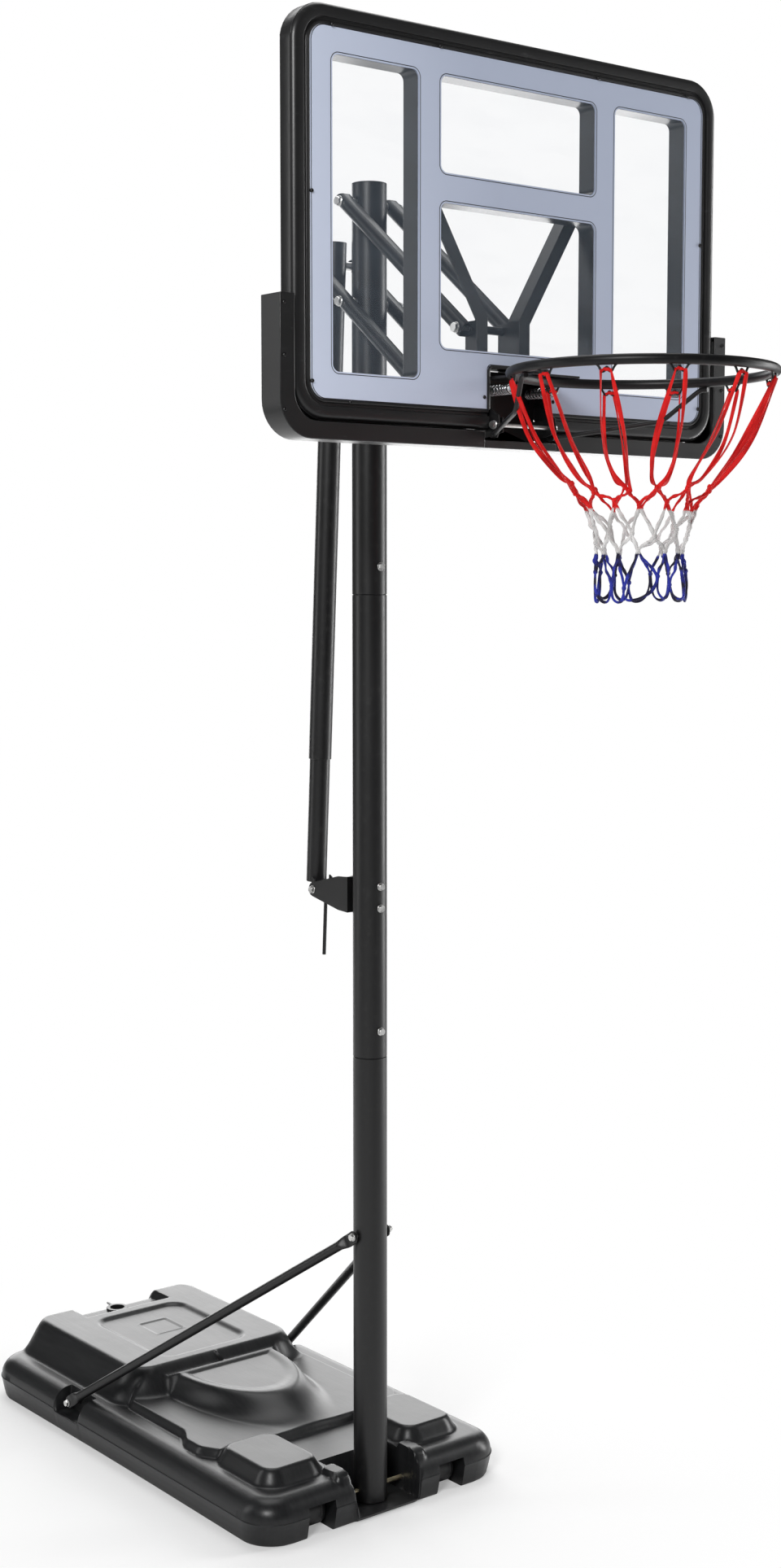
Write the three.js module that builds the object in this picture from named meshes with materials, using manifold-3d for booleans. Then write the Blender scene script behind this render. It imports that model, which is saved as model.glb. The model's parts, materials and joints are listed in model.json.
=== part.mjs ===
// Portable basketball hoop: a water-filled base on two wheels, a three-piece pole with two struts,
// and a backboard carried on a parallelogram of four arms that a hand-cranked screw jack lifts.
// Millimetres, +Z up, floor at z = 0, pole axis at x = 0, y = 0, and the rim faces -Y.
import * as THREE from 'three';
import { mergeVertices } from 'three/addons/utils/BufferGeometryUtils.js';
import Module from 'manifold-3d';

const wasm = await Module();
wasm.setup();

// ---- driving dimensions ------------------------------------------------------------------------

const gap = 0.3;                 // clearance between pieces that touch
const weldGap = 0.3;             // clearance that stands for a weld

const bolt = { radius: 4, headRadius: 7.5, headHeight: 5.5, nutHeight: 6.5, washerRadius: 8.5,
  washerHeight: 1.6, tip: 4 };
const pivotBolt = { ...bolt, radius: 5, headRadius: 9.2, headHeight: 6.4, nutHeight: 8,
  washerRadius: 10.5, washerHeight: 2 };

const pole = { radius: 36, wall: 1.6, footZ: 14, seamZ: [982, 1954], topZ: 2790, neckLength: 95,
  boltAboveSeam: 58 };
const poleCap = { flange: 3, plugDepth: 22 };

const base = {
  halfWidth: 330, frontY: -66, rearY: 1095, cornerRadius: 78, partingZ: 52, edgeRadius: 44, footInset: 12,
  deckZ: 96,
};
const block = { halfWidth: 210, frontY: 602, rearY: 1062, topZ: 170, slope: 62, corner: 45 };
const rearNotch = { halfWidth: 108, frontY: 996, floorZ: 150, slope: 14 };
const panelRecess = { halfWidth: 112, frontY: 640, rearY: 940, depth: 7, slope: 16 };
const dome = { rearY: 552, topHalfWidth: 130, topLength: 222, footHalfWidth: 168, footLength: 372,
  topZ: 157, rearSlope: 34 };
const platform = { halfWidth: 242, frontY: 208, rearY: 584, topZ: 113, slope: 14 };
const cornerPad = { centreX: 186, centreY: 112, halfWidth: 60, halfLength: 84, topZ: 129, slope: 30,
  corner: 26 };
const poleBay = { halfWidth: 84, rearY: 62, lipZ: 12 };
const strutPocket = { y: 745, frontLength: 66, rearLength: 34, innerX: 286, floorZ: 46 };
const plugSeat = { y: 1040, radius: 21, depth: 26 };
const plug = { flangeRadius: 27, flangeHeight: 5, stemWall: 3, tabLength: 20, tabWidth: 9 };

const axle = { radius: 5, y: 0, z: 38, halfLength: 322 };
const wheel = { radius: 37, width: 56, centreX: 176, bay: 7, bore: 0.4, recess: 6 };

const strut = { radius: 10.5, topZ: 597, topX: pole.radius + 8, footX: 312, footZ: 72, flatLength: 34,
  flatThickness: 5 };

const arm = { radius: 16, wall: 1.5, length: 463, restDeg: 38, x: pole.radius + 24, upperZ: 2746,
  spacing: 199, jackReach: 150, boreClearance: 0.3 };
const bush = { radius: 9.5 };
// Front upper pivot as the board, the guard and the rim are laid out below; they move with the arms' ends.
const carrier = { pivotY: -364.85098, upperPivotZ: 2460.94874 };

const jack = {
  footY: 161, footZ: 1322, axisOffset: 28, outerRadius: 24.5, outerWall: 1.6, innerRadius: 22,
    innerWall: 1.6,
  outerLength: 1085, headAbovePin: 46, innerLength: 780, innerFootAbovePivot: 12, screwRadius: 8,
    screwLength: 1050,
  nutHeight: 30, stroke: 223,
};
const jackBracket = { halfWidth: 30, plate: 3, rootTopZ: 1362, rootBottomZ: 1286, noseRadius: 15,
  rootY: pole.radius + 3, shoulderY: 72, boltZ: [1347, 1301] };
const crank = { radius: 4, throw: 27, drop: 128, socketRadius: 9, socketLength: 26 };

const board = {
  frontY: -463, rimRearY: -423, ribRearY: -415, centreZ: 2621, halfWidth: 528, halfHeight: 358, corner: 70,
  printInset: 37, printHalfHeight: 324, printCorner: 34, skin: 4, ribWall: 5,
};
const printHalfWidth = board.halfWidth - board.printInset;
const sheet = { thickness: 3, frontY: -460, edgeGap: 0.6 };
const sideWindow = { innerX: 246, outerX: printHalfWidth - 50, bottomZ: 2349, topZ: 2895, corner: 14 };
const upperWindow = { halfWidth: 193.5, bottomZ: 2722, topZ: 2894, corner: 14 };
const lowerWindow = { halfWidth: 193.5, bottomZ: 2407, topZ: 2668, corner: 14 };
const rimNotch = { halfWidth: 77, topZ: 2380 };
const guard = { halfWidth: board.halfWidth + 32, bottomZ: 2229, topZ: 2477, corner: 68, frontY: -466.8,
  rearY: -409, wall: 3.5, lip: 31.7, centreHalfWidth: 91, centreTopZ: 2244 };

const bracket = { x: 40, thickness: 3, webDepth: 62, flange: 27, bottomZ: 2246, bendZ: 2478, topX: 174,
  topZ: 2700, legWeb: 34 };
const sleeveRadius = 8;

const rim = { innerRadius: 225, tube: 9, rearY: -543, z: 2349, hooks: 12, hookDrop: 19, hookWire: 2.6,
  hookHalfWidth: 10 };
const rimCentreY = rim.rearY - rim.innerRadius - 2 * rim.tube;
const hinge = { y: -472, z: 2272 };
const mountPlate = { y: -415, thickness: 4, halfWidth: 74, bottomZ: 2246, topZ: 2376, earX: 60,
  earTopZ: 2286 };
const rimPlate = {
  thickness: 4, halfWidth: 73, bottomZ: 2292, cheekTopZ: 2318, cheekBottomZ: 2248, noseY: -487,
    shelfFrontY: -562,
  shelfFrontHalfWidth: 60,
};
const spring = { x: 54, z: 2338, radius: 10.6, wire: 2.4, length: 72, turns: 9 };
const brace = { radius: 4.5, ringAngleDeg: 15.69, kneeX: 184, kneeY: -655, kneeZ: 2279, footY: -476,
  footZ: 2254 };

// The net's outline, from under the hooks to its lower end: each radius with its depth below the hooks.
const net = {
  wall: 3, shoulder: [195, 98], middle: [140, 156], waist: [100, 214], neck: [77, 287], bottom: [79, 384],
};

// ---- colours -----------------------------------------------------------------------------------

function finish(color, roughness, metalness) {
  return { color, roughness, metalness };
}
const blackSteel = finish(0x17181a, 0.45, 0.3);
const blackPlastic = finish(0x1b1c1e, 0.5, 0);
const zinc = finish(0xc9cbcd, 0.3, 0.9);
const yellowZinc = finish(0xc8b98c, 0.35, 0.9);
const tankPlastic = finish(0x2b2d30, 0.42, 0);
const clearSheet = finish(0xdfe6ee, 0.1, 0);
const netCord = finish(0xd8342c, 0.9, 0);
const springSteel = finish(0x2a2a2c, 0.3, 0.8);

// ---- solids from three.js geometry -------------------------------------------------------------

function toSolid(geometry) {
  const bare = new THREE.BufferGeometry();
  bare.setAttribute('position', geometry.getAttribute('position').clone());
  if (geometry.index) bare.setIndex(geometry.index.clone());
  const merged = mergeVertices(bare, 1e-4);
  const index = Uint32Array.from(merged.index.array);
  const position = Float32Array.from(merged.getAttribute('position').array);
  const corner = (i) => new THREE.Vector3().fromArray(position, 3 * i);
  let volume = 0;
  for (let i = 0; i < index.length; i += 3) {
    volume += corner(index[i]).dot(corner(index[i + 1]).cross(corner(index[i + 2])));
  }
  if (volume < 0) {
    for (let i = 0; i < index.length; i += 3) [index[i], index[i + 1]] = [index[i + 1], index[i]];
  }
  const kept = [];
  for (let i = 0; i < index.length; i += 3) {
    const [a, b, c] = [index[i], index[i + 1], index[i + 2]];
    if (a !== b && b !== c && a !== c) kept.push(a, b, c);
  }
  const mesh = new wasm.Mesh({ numProp: 3, vertProperties: position, triVerts: Uint32Array.from(kept) });
  return new wasm.Manifold(mesh);
}

function toGeometry(solid) {
  const mesh = solid.getMesh();
  const geometry = new THREE.BufferGeometry();
  geometry.setAttribute('position', new THREE.BufferAttribute(Float32Array.from(mesh.vertProperties), 3));
  geometry.setIndex(new THREE.BufferAttribute(Uint32Array.from(mesh.triVerts), 1));
  geometry.computeVertexNormals();
  return geometry;
}

const union = (solids) => solids.reduce((all, one) => all.add(one));
const carve = (solid, cutters) => cutters.reduce((rest, one) => rest.subtract(one), solid);
const mirrorX = (solid) => solid.mirror([1, 0, 0]);

// Box between two corners.
function boxSolid(x0, x1, y0, y1, z0, z1) {
  const geometry = new THREE.BoxGeometry(x1 - x0, y1 - y0, z1 - z0);
  geometry.translate((x0 + x1) / 2, (y0 + y1) / 2, (z0 + z1) / 2);
  return toSolid(geometry);
}

// Cylinder of radius r from a to b along one axis; centre gives the other two coordinates in X, Y, Z order.
function rod(axis, r, a, b, centre = [0, 0], segments = 16) {
  const geometry = new THREE.CylinderGeometry(r, r, b - a, segments);
  if (axis === 'x') geometry.rotateZ(-Math.PI / 2);
  if (axis === 'z') geometry.rotateX(Math.PI / 2);
  const middle = (a + b) / 2;
  if (axis === 'x') geometry.translate(middle, centre[0], centre[1]);
  if (axis === 'y') geometry.translate(centre[0], middle, centre[1]);
  if (axis === 'z') geometry.translate(centre[0], centre[1], middle);
  return toSolid(geometry);
}

function ring(axis, outer, inner, a, b, centre, segments = 16) {
  return rod(axis, outer, a, b, centre, segments).subtract(rod(axis, inner, a - 1, b + 1, centre,
    segments));
}

// A closed profile of [radius, z] points turned about the Z axis.
function turned(profile, segments = 32) {
  const points = [...profile, profile[0]].map(([r, z]) => new THREE.Vector2(r, z));
  const geometry = new THREE.LatheGeometry(points, segments);
  geometry.rotateX(Math.PI / 2);
  return toSolid(geometry);
}

// Outline in the XZ plane, extruded along Y from y0 to y1.
function plateXZ(shape, y0, y1, curveSegments = 5) {
  const geometry = new THREE.ExtrudeGeometry(shape, { depth: y1 - y0, bevelEnabled: false, curveSegments });
  geometry.rotateX(Math.PI / 2);
  geometry.translate(0, y1, 0);
  return toSolid(geometry);
}

// Outline in the YZ plane, extruded along X from x0 to x1.
function plateYZ(points, x0, x1) {
  const shape = new THREE.Shape(points.map(([y, z]) => new THREE.Vector2(y, z)));
  const geometry = new THREE.ExtrudeGeometry(shape, { depth: x1 - x0, bevelEnabled: false });
  geometry.applyMatrix4(new THREE.Matrix4().set(0, 0, 1, x0, 1, 0, 0, 0, 0, 1, 0, 0, 0, 0, 0, 1));
  return toSolid(geometry);
}

function polygonXZ(points) {
  return new THREE.Shape(points.map(([x, z]) => new THREE.Vector2(x, z)));
}

// Rectangle with rounded corners, as a Shape in the XZ plane.
function roundedRect(x0, x1, z0, z1, r) {
  const shape = new THREE.Shape();
  shape.moveTo(x0 + r, z0);
  shape.lineTo(x1 - r, z0);
  shape.absarc(x1 - r, z0 + r, r, -Math.PI / 2, 0);
  shape.lineTo(x1, z1 - r);
  shape.absarc(x1 - r, z1 - r, r, 0, Math.PI / 2);
  shape.lineTo(x0 + r, z1);
  shape.absarc(x0 + r, z1 - r, r, Math.PI / 2, Math.PI);
  shape.lineTo(x0, z0 + r);
  shape.absarc(x0 + r, z0 + r, r, Math.PI, 1.5 * Math.PI);
  return shape;
}

// Round bar along a list of points, with straight runs and rounded corners of the curve given.
function bar(points, radius, steps, sides = 8) {
  const curve = new THREE.CatmullRomCurve3(points.map((p) => new THREE.Vector3(...p)), false,
    'catmullrom', 0.08);
  const section = new THREE.Shape();
  for (let i = 0; i < sides; i++) {
    const angle = (2 * Math.PI * i) / sides;
    section[i ? 'lineTo' : 'moveTo'](radius * Math.cos(angle), radius * Math.sin(angle));
  }
  section.closePath();
  return toSolid(new THREE.ExtrudeGeometry(section, { steps, bevelEnabled: false, extrudePath: curve }));
}

// Hexagon bolt along X: washer and head below -grip / 2, washer and nut above +grip / 2.
function hexBolt(grip, size = bolt) {
  const { radius, headRadius, headHeight, nutHeight, washerRadius, washerHeight, tip } = size;
  const from = -grip / 2;
  const to = grip / 2;
  return union([
    rod('x', radius, from - washerHeight - 1, to + washerHeight + nutHeight + tip, [0, 0], 10),
    rod('x', washerRadius, from - washerHeight, from, [0, 0], 12),
    rod('x', headRadius, from - washerHeight - headHeight, from - washerHeight + 0.2, [0, 0], 6),
    rod('x', washerRadius, to, to + washerHeight, [0, 0], 12),
    rod('x', headRadius, to + washerHeight - 0.2, to + washerHeight + nutHeight, [0, 0], 6),
  ]);
}

// ---- assembly helpers --------------------------------------------------------------------------

const hoop = new THREE.Group();

function add(group, name, solid, look, { x = 0, y = 0, z = 0, turnX = 0, turnZ = 0 } = {}) {
  const material = new THREE.MeshStandardMaterial(look);
  if (look === clearSheet) Object.assign(material, { transparent: true, opacity: 0.4 });
  const mesh = new THREE.Mesh(toGeometry(solid), material);
  mesh.name = name;
  mesh.position.set(x, y, z);
  mesh.rotation.set(turnX, 0, turnZ);
  group.add(mesh);
  return mesh;
}

const clamp01 = (t) => Math.min(1, Math.max(0, t));
const smooth = (t) => clamp01(t) ** 2 * (3 - 2 * clamp01(t));

// Distance outside a rounded box of half sizes hx, hy and corner radius r; negative inside.
function outsideBox(x, y, hx, hy, r) {
  const qx = Math.abs(x) - hx + r;
  const qy = Math.abs(y) - hy + r;
  return Math.hypot(Math.max(qx, 0), Math.max(qy, 0)) + Math.min(Math.max(qx, qy), 0) - r;
}

// ---- base tank ---------------------------------------------------------------------------------

const baseMiddleY = (base.frontY + base.rearY) / 2;
const baseHalfLength = (base.rearY - base.frontY) / 2;

// Height of the tank's top above the floor: the deck, the features raised on it and the rounded border.
function tankTop(x, y) {
  const raise = (height, outside, topZ, slope) => height + (Math.max(topZ,
    height) - height) * (1 - smooth(outside / slope));
  let height = base.deckZ;
  const platformOut = outsideBox(x, y - (platform.frontY + platform.rearY) / 2, platform.halfWidth,
    (platform.rearY - platform.frontY) / 2, 20);
  height = raise(height, platformOut, platform.topZ, platform.slope);

  const towardFront = Math.max(0, dome.rearY - y);
  const topReach = Math.hypot(x / dome.topHalfWidth, towardFront / dome.topLength);
  const footReach = Math.hypot(x / dome.footHalfWidth, towardFront / dome.footLength);
  const downSlope = Math.max((topReach - 1) / (topReach - footReach), (y - dome.rearY) / dome.rearSlope);
  height = raise(height, topReach > 0 ? downSlope : 0, dome.topZ, 1);

  const padOut = outsideBox(Math.abs(x) - cornerPad.centreX, y - cornerPad.centreY, cornerPad.halfWidth,
    cornerPad.halfLength, cornerPad.corner);
  height = raise(height, padOut, cornerPad.topZ, cornerPad.slope);

  const blockOut = outsideBox(x, y - (block.frontY + block.rearY) / 2, block.halfWidth,
    (block.rearY - block.frontY) / 2, block.corner);
  height = raise(height, blockOut, block.topZ, block.slope);
  const recessOut = outsideBox(x, y - (panelRecess.frontY + panelRecess.rearY) / 2, panelRecess.halfWidth,
    (panelRecess.rearY - panelRecess.frontY) / 2, 30);
  height -= panelRecess.depth * (1 - smooth(recessOut / panelRecess.slope));
  const notchOut = Math.max(Math.abs(x) - rearNotch.halfWidth, rearNotch.frontY - y);
  height = Math.min(height,
    rearNotch.floorZ + (block.topZ - rearNotch.floorZ) * smooth(notchOut / rearNotch.slope));

  const inside = -outsideBox(x, y - baseMiddleY, base.halfWidth, baseHalfLength, base.cornerRadius);
  const fall = 1 - clamp01(inside / base.edgeRadius);
  return base.partingZ + (height - base.partingZ) * Math.sqrt(Math.max(0, 1 - fall ** 2));
}

// Half width of the tank's outline at y, which is rounded at its four corners.
function tankHalfWidth(y) {
  const intoCorner = Math.max(0, Math.abs(y - baseMiddleY) - baseHalfLength + base.cornerRadius);
  return base.halfWidth - base.cornerRadius + Math.sqrt(Math.max(0,
    base.cornerRadius ** 2 - intoCorner ** 2));
}

// The tank as a grid of columns across and rows along it: top surface, drafted sides and flat foot.
function tankBody() {
  const across = [0, 0.16, 0.33, 0.42, 0.52, 0.64, 0.73, 0.84, 0.92, 0.975, 1];
  const columns = [...across.slice(1).reverse().map((t) => -t), ...across];
  const { cornerRadius: r } = base;
  const corner = [0, 0.012, 0.07, 0.22, 0.5, 1].map((t) => r * t);
  const between = [62, 110, 165, 205, 245, 310, 380, 450, 510, 552, 584, 640, 720, 800, 880, 950, 1000];
  const rows = [...corner.map((t) => base.frontY + t), ...between,
    ...corner.reverse().map((t) => base.rearY - t)];
  const [nx, ny] = [columns.length, rows.length];
  const position = [];
  const footScaleX = 1 - base.footInset / base.halfWidth;
  const footScaleY = 1 - base.footInset / baseHalfLength;
  for (const y of rows) for (const t of columns) position.push(t * tankHalfWidth(y), y,
    tankTop(t * tankHalfWidth(y), y));
  for (const y of rows) {
    for (const t of columns) {
      position.push(t * tankHalfWidth(y) * footScaleX, baseMiddleY + (y - baseMiddleY) * footScaleY, 0);
    }
  }
  const index = [];
  const quad = (a, b, c, d) => index.push(a, b, c, a, c, d);
  const foot = nx * ny;
  for (let j = 0; j < ny - 1; j++) {
    for (let i = 0; i < nx - 1; i++) {
      const a = j * nx + i;
      quad(a, a + 1, a + nx + 1, a + nx);
      quad(foot + a + nx, foot + a + nx + 1, foot + a + 1, foot + a);
    }
    quad(j * nx, (j + 1) * nx, foot + (j + 1) * nx, foot + j * nx);
    const e = j * nx + nx - 1;
    quad(e + nx, e, foot + e, foot + e + nx);
  }
  for (let i = 0; i < nx - 1; i++) {
    quad(i + 1, i, foot + i, foot + i + 1);
    const e = (ny - 1) * nx + i;
    quad(e, e + 1, foot + e + 1, foot + e);
  }
  const geometry = new THREE.BufferGeometry();
  geometry.setAttribute('position', new THREE.Float32BufferAttribute(position, 3));
  geometry.setIndex(index);
  return toSolid(geometry);
}

function baseTank() {
  const bayHalf = wheel.width / 2 + wheel.bay;
  const bayRear = wheel.radius + wheel.bay;
  const cuts = [];
  for (const side of [-1, 1]) {
    const x = side * wheel.centreX;
    cuts.push(union([
      boxSolid(x - bayHalf, x + bayHalf, base.frontY - 10, axle.y, -10, axle.z + bayRear),
      rod('x', bayRear, x - bayHalf, x + bayHalf, [axle.y, axle.z], 20),
      boxSolid(x - bayHalf, x + bayHalf, axle.y - 1, axle.y + bayRear, -10, axle.z),
    ]));
    const pocketOuter = side * (base.halfWidth + 20);
    const pocketInner = side * strutPocket.innerX;
    cuts.push(boxSolid(Math.min(pocketOuter, pocketInner), Math.max(pocketOuter, pocketInner),
      strutPocket.y - strutPocket.frontLength, strutPocket.y + strutPocket.rearLength, strutPocket.floorZ,
        base.deckZ + 60));
  }
  cuts.push(boxSolid(-poleBay.halfWidth, poleBay.halfWidth, base.frontY - 10, poleBay.rearY, poleBay.lipZ,
    base.deckZ + 60));
  cuts.push(rod('x', axle.radius + gap, -base.halfWidth - 10, base.halfWidth + 10, [axle.y, axle.z], 12));
  cuts.push(rod('z', plugSeat.radius, rearNotch.floorZ - plugSeat.depth, rearNotch.floorZ + 40, [0,
    plugSeat.y], 20));
  for (const side of [-1, 1]) {
    cuts.push(rod('x', bolt.radius + gap, side > 0 ? 240 : -strutPocket.innerX - 1,
      side > 0 ? strutPocket.innerX + 1 : -240,
      [strutPocket.y, strut.footZ], 12));
  }
  return carve(tankBody(), cuts);
}

const baseGroup = new THREE.Group();
hoop.add(baseGroup);
add(baseGroup, 'base_tank', baseTank(), tankPlastic);
add(baseGroup, 'axle_rod', rod('x', axle.radius, -axle.halfLength, axle.halfLength, [axle.y, axle.z], 16),
  yellowZinc);

function rollerWheel() {
  const { radius: r, width, recess } = wheel;
  const bore = axle.radius + wheel.bore;
  const half = width / 2;
  const hub = bore + 7;
  return turned([
    [bore, -half], [hub, -half], [hub + 1, -half + recess], [r - 7, -half + recess], [r - 6, -half],
      [r - 2, -half],
    [r, -half + 2], [r, half - 2], [r - 2, half], [r - 6, half], [r - 7, half - recess], [hub + 1,
      half - recess],
    [hub, half], [bore, half],
  ], 24).rotate([0, 90, 0]);
}
for (const [name, side] of [['left', -1], ['right', 1]]) {
  add(baseGroup, `wheel_${name}`, rollerWheel(), blackPlastic, { x: side * wheel.centreX, y: axle.y,
    z: axle.z });
}

// Ring-shaped filler plug that hangs in its seat by a flange and is pulled out by a tab.
function fillerPlug() {
  const stem = plugSeat.radius - 0.4;
  const bodyOfPlug = turned([
    [0, -plugSeat.depth + 4], [stem, -plugSeat.depth + 4], [stem, gap], [plug.flangeRadius, gap],
    [plug.flangeRadius, plug.flangeHeight], [stem - plug.stemWall, plug.flangeHeight],
    [stem - plug.stemWall, -plugSeat.depth + 8], [0, -plugSeat.depth + 8],
  ], 24);
  const tab = boxSolid(-plug.tabWidth / 2, plug.tabWidth / 2, plug.flangeRadius - 3,
    plug.flangeRadius + plug.tabLength,
    gap + 1, plug.flangeHeight);
  return bodyOfPlug.add(tab);
}
add(baseGroup, 'filler_plug', fillerPlug(), blackPlastic, { y: plugSeat.y, z: rearNotch.floorZ });

// ---- pole --------------------------------------------------------------------------------------

const poleGroup = new THREE.Group();
hoop.add(poleGroup);

// Pole tube from z0 to z1, with a narrowed neck above it that the next section slides over.
function poleTube(z0, z1, neckLength) {
  const outer = pole.radius;
  const inner = pole.radius - pole.wall;
  const neckOuter = inner - gap;
  const neckInner = neckOuter - pole.wall;
  if (!neckLength) return turned([[outer, z0], [outer, z1], [inner, z1], [inner, z0]], 28);
  return turned([
    [outer, z0], [outer, z1], [neckOuter, z1], [neckOuter, z1 + neckLength], [neckInner, z1 + neckLength],
    [neckInner, z1], [inner, z1 - 4], [inner, z0],
  ], 28);
}
const jointBoltZ = pole.seamZ.map((z) => z + pole.boltAboveSeam);
const [lowerSeam, upperSeam] = pole.seamZ;
const reach = pole.radius + 30;
const poleHole = (axis, z, size, y = 0) => rod(axis, size.radius + gap, -reach, reach, axis === 'x' ? [y,
  z] : [0, z], 12);
const upperPivotZ = arm.upperZ;
const lowerPivotZ = arm.upperZ - arm.spacing;

add(poleGroup, 'lower_pole', carve(poleTube(pole.footZ, lowerSeam, pole.neckLength), [
  poleHole('x', axle.z, axle, axle.y), poleHole('x', strut.topZ, bolt), poleHole('y', jointBoltZ[0], bolt),
]), blackSteel);
add(poleGroup, 'middle_pole', carve(poleTube(lowerSeam + 2 * gap, upperSeam, pole.neckLength), [
  poleHole('y', jointBoltZ[0], bolt), poleHole('y', jointBoltZ[1], bolt),
  ...jackBracket.boltZ.map((z) => poleHole('y', z, bolt)),
]), blackSteel);
add(poleGroup, 'upper_pole', carve(poleTube(upperSeam + 2 * gap, pole.topZ - poleCap.flange, 0), [
  poleHole('y', jointBoltZ[1], bolt), poleHole('x', upperPivotZ, pivotBolt), poleHole('x', lowerPivotZ,
    pivotBolt),
]), blackSteel);

const capInner = pole.radius - pole.wall - gap;
add(poleGroup, 'pole_cap', turned([
  [0, gap], [0, poleCap.flange], [pole.radius - 1.5, poleCap.flange], [pole.radius, poleCap.flange - 1.5],
    [pole.radius, gap],
  [capInner, gap], [capInner, -poleCap.plugDepth], [capInner - 2.5, -poleCap.plugDepth], [capInner - 2.5,
    gap],
], 40), blackPlastic, { z: pole.topZ - poleCap.flange });

// A bolt through the pole along Y, head at the front.
const throughPoleGrip = 2 * (pole.radius + gap);
['lower', 'upper'].forEach((name, i) => {
  add(poleGroup, `pole_joint_bolt_${name}`, hexBolt(throughPoleGrip), zinc, { z: jointBoltZ[i],
    turnZ: Math.PI / 2 });
});

// ---- struts ------------------------------------------------------------------------------------

const strutGroup = new THREE.Group();
hoop.add(strutGroup);

// A round tube whose two ends are pressed flat in the YZ plane and drilled for the bolts.
function strutSolid(side) {
  const top = new THREE.Vector3(side * strut.topX, 0, strut.topZ);
  const foot = new THREE.Vector3(side * strut.footX, strutPocket.y, strut.footZ);
  const along = foot.clone().sub(top).normalize();
  const flat = (end, sign) => {
    const inner = end.clone().addScaledVector(along, sign * strut.flatLength);
    const across = new THREE.Vector3(0, -along.z, along.y).normalize().multiplyScalar(strut.radius + 1);
    const tail = end.clone().addScaledVector(along, -sign * 11);
    const corners = [inner.clone().add(across), inner.clone().sub(across), tail.clone().sub(across),
      tail.clone().add(across)];
    return plateYZ(corners.map((p) => [p.y, p.z]), end.x - strut.flatThickness / 2,
      end.x + strut.flatThickness / 2);
  };
  const start = top.clone().addScaledVector(along, strut.flatLength - 14);
  const stop = foot.clone().addScaledVector(along, -strut.flatLength + 14);
  const tube = new THREE.CylinderGeometry(strut.radius, strut.radius, start.distanceTo(stop), 14);
  tube.applyQuaternion(new THREE.Quaternion().setFromUnitVectors(new THREE.Vector3(0, 1, 0), along));
  const middle = start.clone().add(stop).multiplyScalar(0.5);
  tube.translate(middle.x, middle.y, middle.z);
  const shape = union([flat(top, 1), toSolid(tube), flat(foot, -1)]);
  return carve(shape, [
    rod('x', bolt.radius + gap, top.x - 20, top.x + 20, [top.y, top.z], 12),
    rod('x', bolt.radius + gap, foot.x - 20, foot.x + 20, [foot.y, foot.z], 12),
  ]);
}
const strutTopGrip = 2 * (strut.topX + strut.flatThickness / 2 + gap);
for (const [name, side] of [['left', -1], ['right', 1]]) {
  add(strutGroup, `strut_${name}`, strutSolid(side), blackSteel);
  const inner = strutPocket.innerX - 34;
  const outer = strut.footX + strut.flatThickness / 2 + gap;
  const { radius, washerRadius, washerHeight, headRadius, headHeight } = bolt;
  const screw = union([
    rod('x', radius, inner, outer + washerHeight + 1, [0, 0], 12),
    rod('x', washerRadius, strutPocket.innerX + gap, strut.footX - strut.flatThickness / 2 - gap, [0, 0],
      16),
    rod('x', washerRadius, outer, outer + washerHeight, [0, 0], 16),
    rod('x', headRadius, outer + washerHeight - 0.2, outer + washerHeight + headHeight, [0, 0], 6),
  ]);
  add(strutGroup, `strut_foot_bolt_${name}`, side > 0 ? screw : mirrorX(screw), zinc, { y: strutPocket.y,
    z: strut.footZ });
}
add(strutGroup, 'strut_top_bolt', hexBolt(strutTopGrip), zinc, { z: strut.topZ });

// ---- lift arms ---------------------------------------------------------------------------------

const restTurn = THREE.MathUtils.degToRad(arm.restDeg);

// Arm tube along -Y from its pole pivot at the origin, with round ends and its bolt holes.
function armTube(rearReach) {
  const { radius: r, wall, length } = arm;
  const span = rod('y', r, -length - r - 1, rearReach + r + 1, [0, 0], 14);
  const bore = rod('y', r - wall, -length - r - 2, rearReach + r + 2, [0, 0], 12);
  const stadium = union([
    boxSolid(-r - 1, r + 1, -length, rearReach, -r - 1, r + 1),
    rod('x', r, -r - 1, r + 1, [-length, 0], 16),
    rod('x', r, -r - 1, r + 1, [rearReach, 0], 16),
  ]);
  const holeR = pivotBolt.radius + arm.boreClearance;
  const holes = [0, -length, rearReach].map((y) => rod('x', holeR, -r - 2, r + 2, [y, 0], 12));
  return carve(span.intersect(stadium), [bore, ...(rearReach ? holes : holes.slice(0, 2))]);
}

const liftGroups = { upper: new THREE.Group(), lower: new THREE.Group() };
liftGroups.upper.position.z = upperPivotZ;
liftGroups.lower.position.z = lowerPivotZ;
for (const [level, group] of Object.entries(liftGroups)) {
  group.rotation.x = restTurn;
  hoop.add(group);
  for (const [name, side] of [['left', -1], ['right', 1]]) {
    add(group, `${level}_arm_${name}`, armTube(level === 'lower' ? arm.jackReach : 0), blackSteel,
      { x: side * arm.x });
    const bushInner = pole.radius + gap;
    const bushOuter = arm.x - arm.radius - gap;
    const sleeve = ring('x', bush.radius, pivotBolt.radius + gap, bushInner, bushOuter, [0, 0], 16);
    add(poleGroup, `${level}_pivot_bush_${name}`, side > 0 ? sleeve : mirrorX(sleeve), zinc, {
      z: level === 'upper' ? upperPivotZ : lowerPivotZ,
    });
  }
}
const armGrip = 2 * (arm.x + arm.radius + gap);
add(poleGroup, 'upper_pole_pivot_bolt', hexBolt(armGrip, pivotBolt), zinc, { z: upperPivotZ });
add(poleGroup, 'lower_pole_pivot_bolt', hexBolt(armGrip, pivotBolt), zinc, { z: lowerPivotZ });

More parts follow.
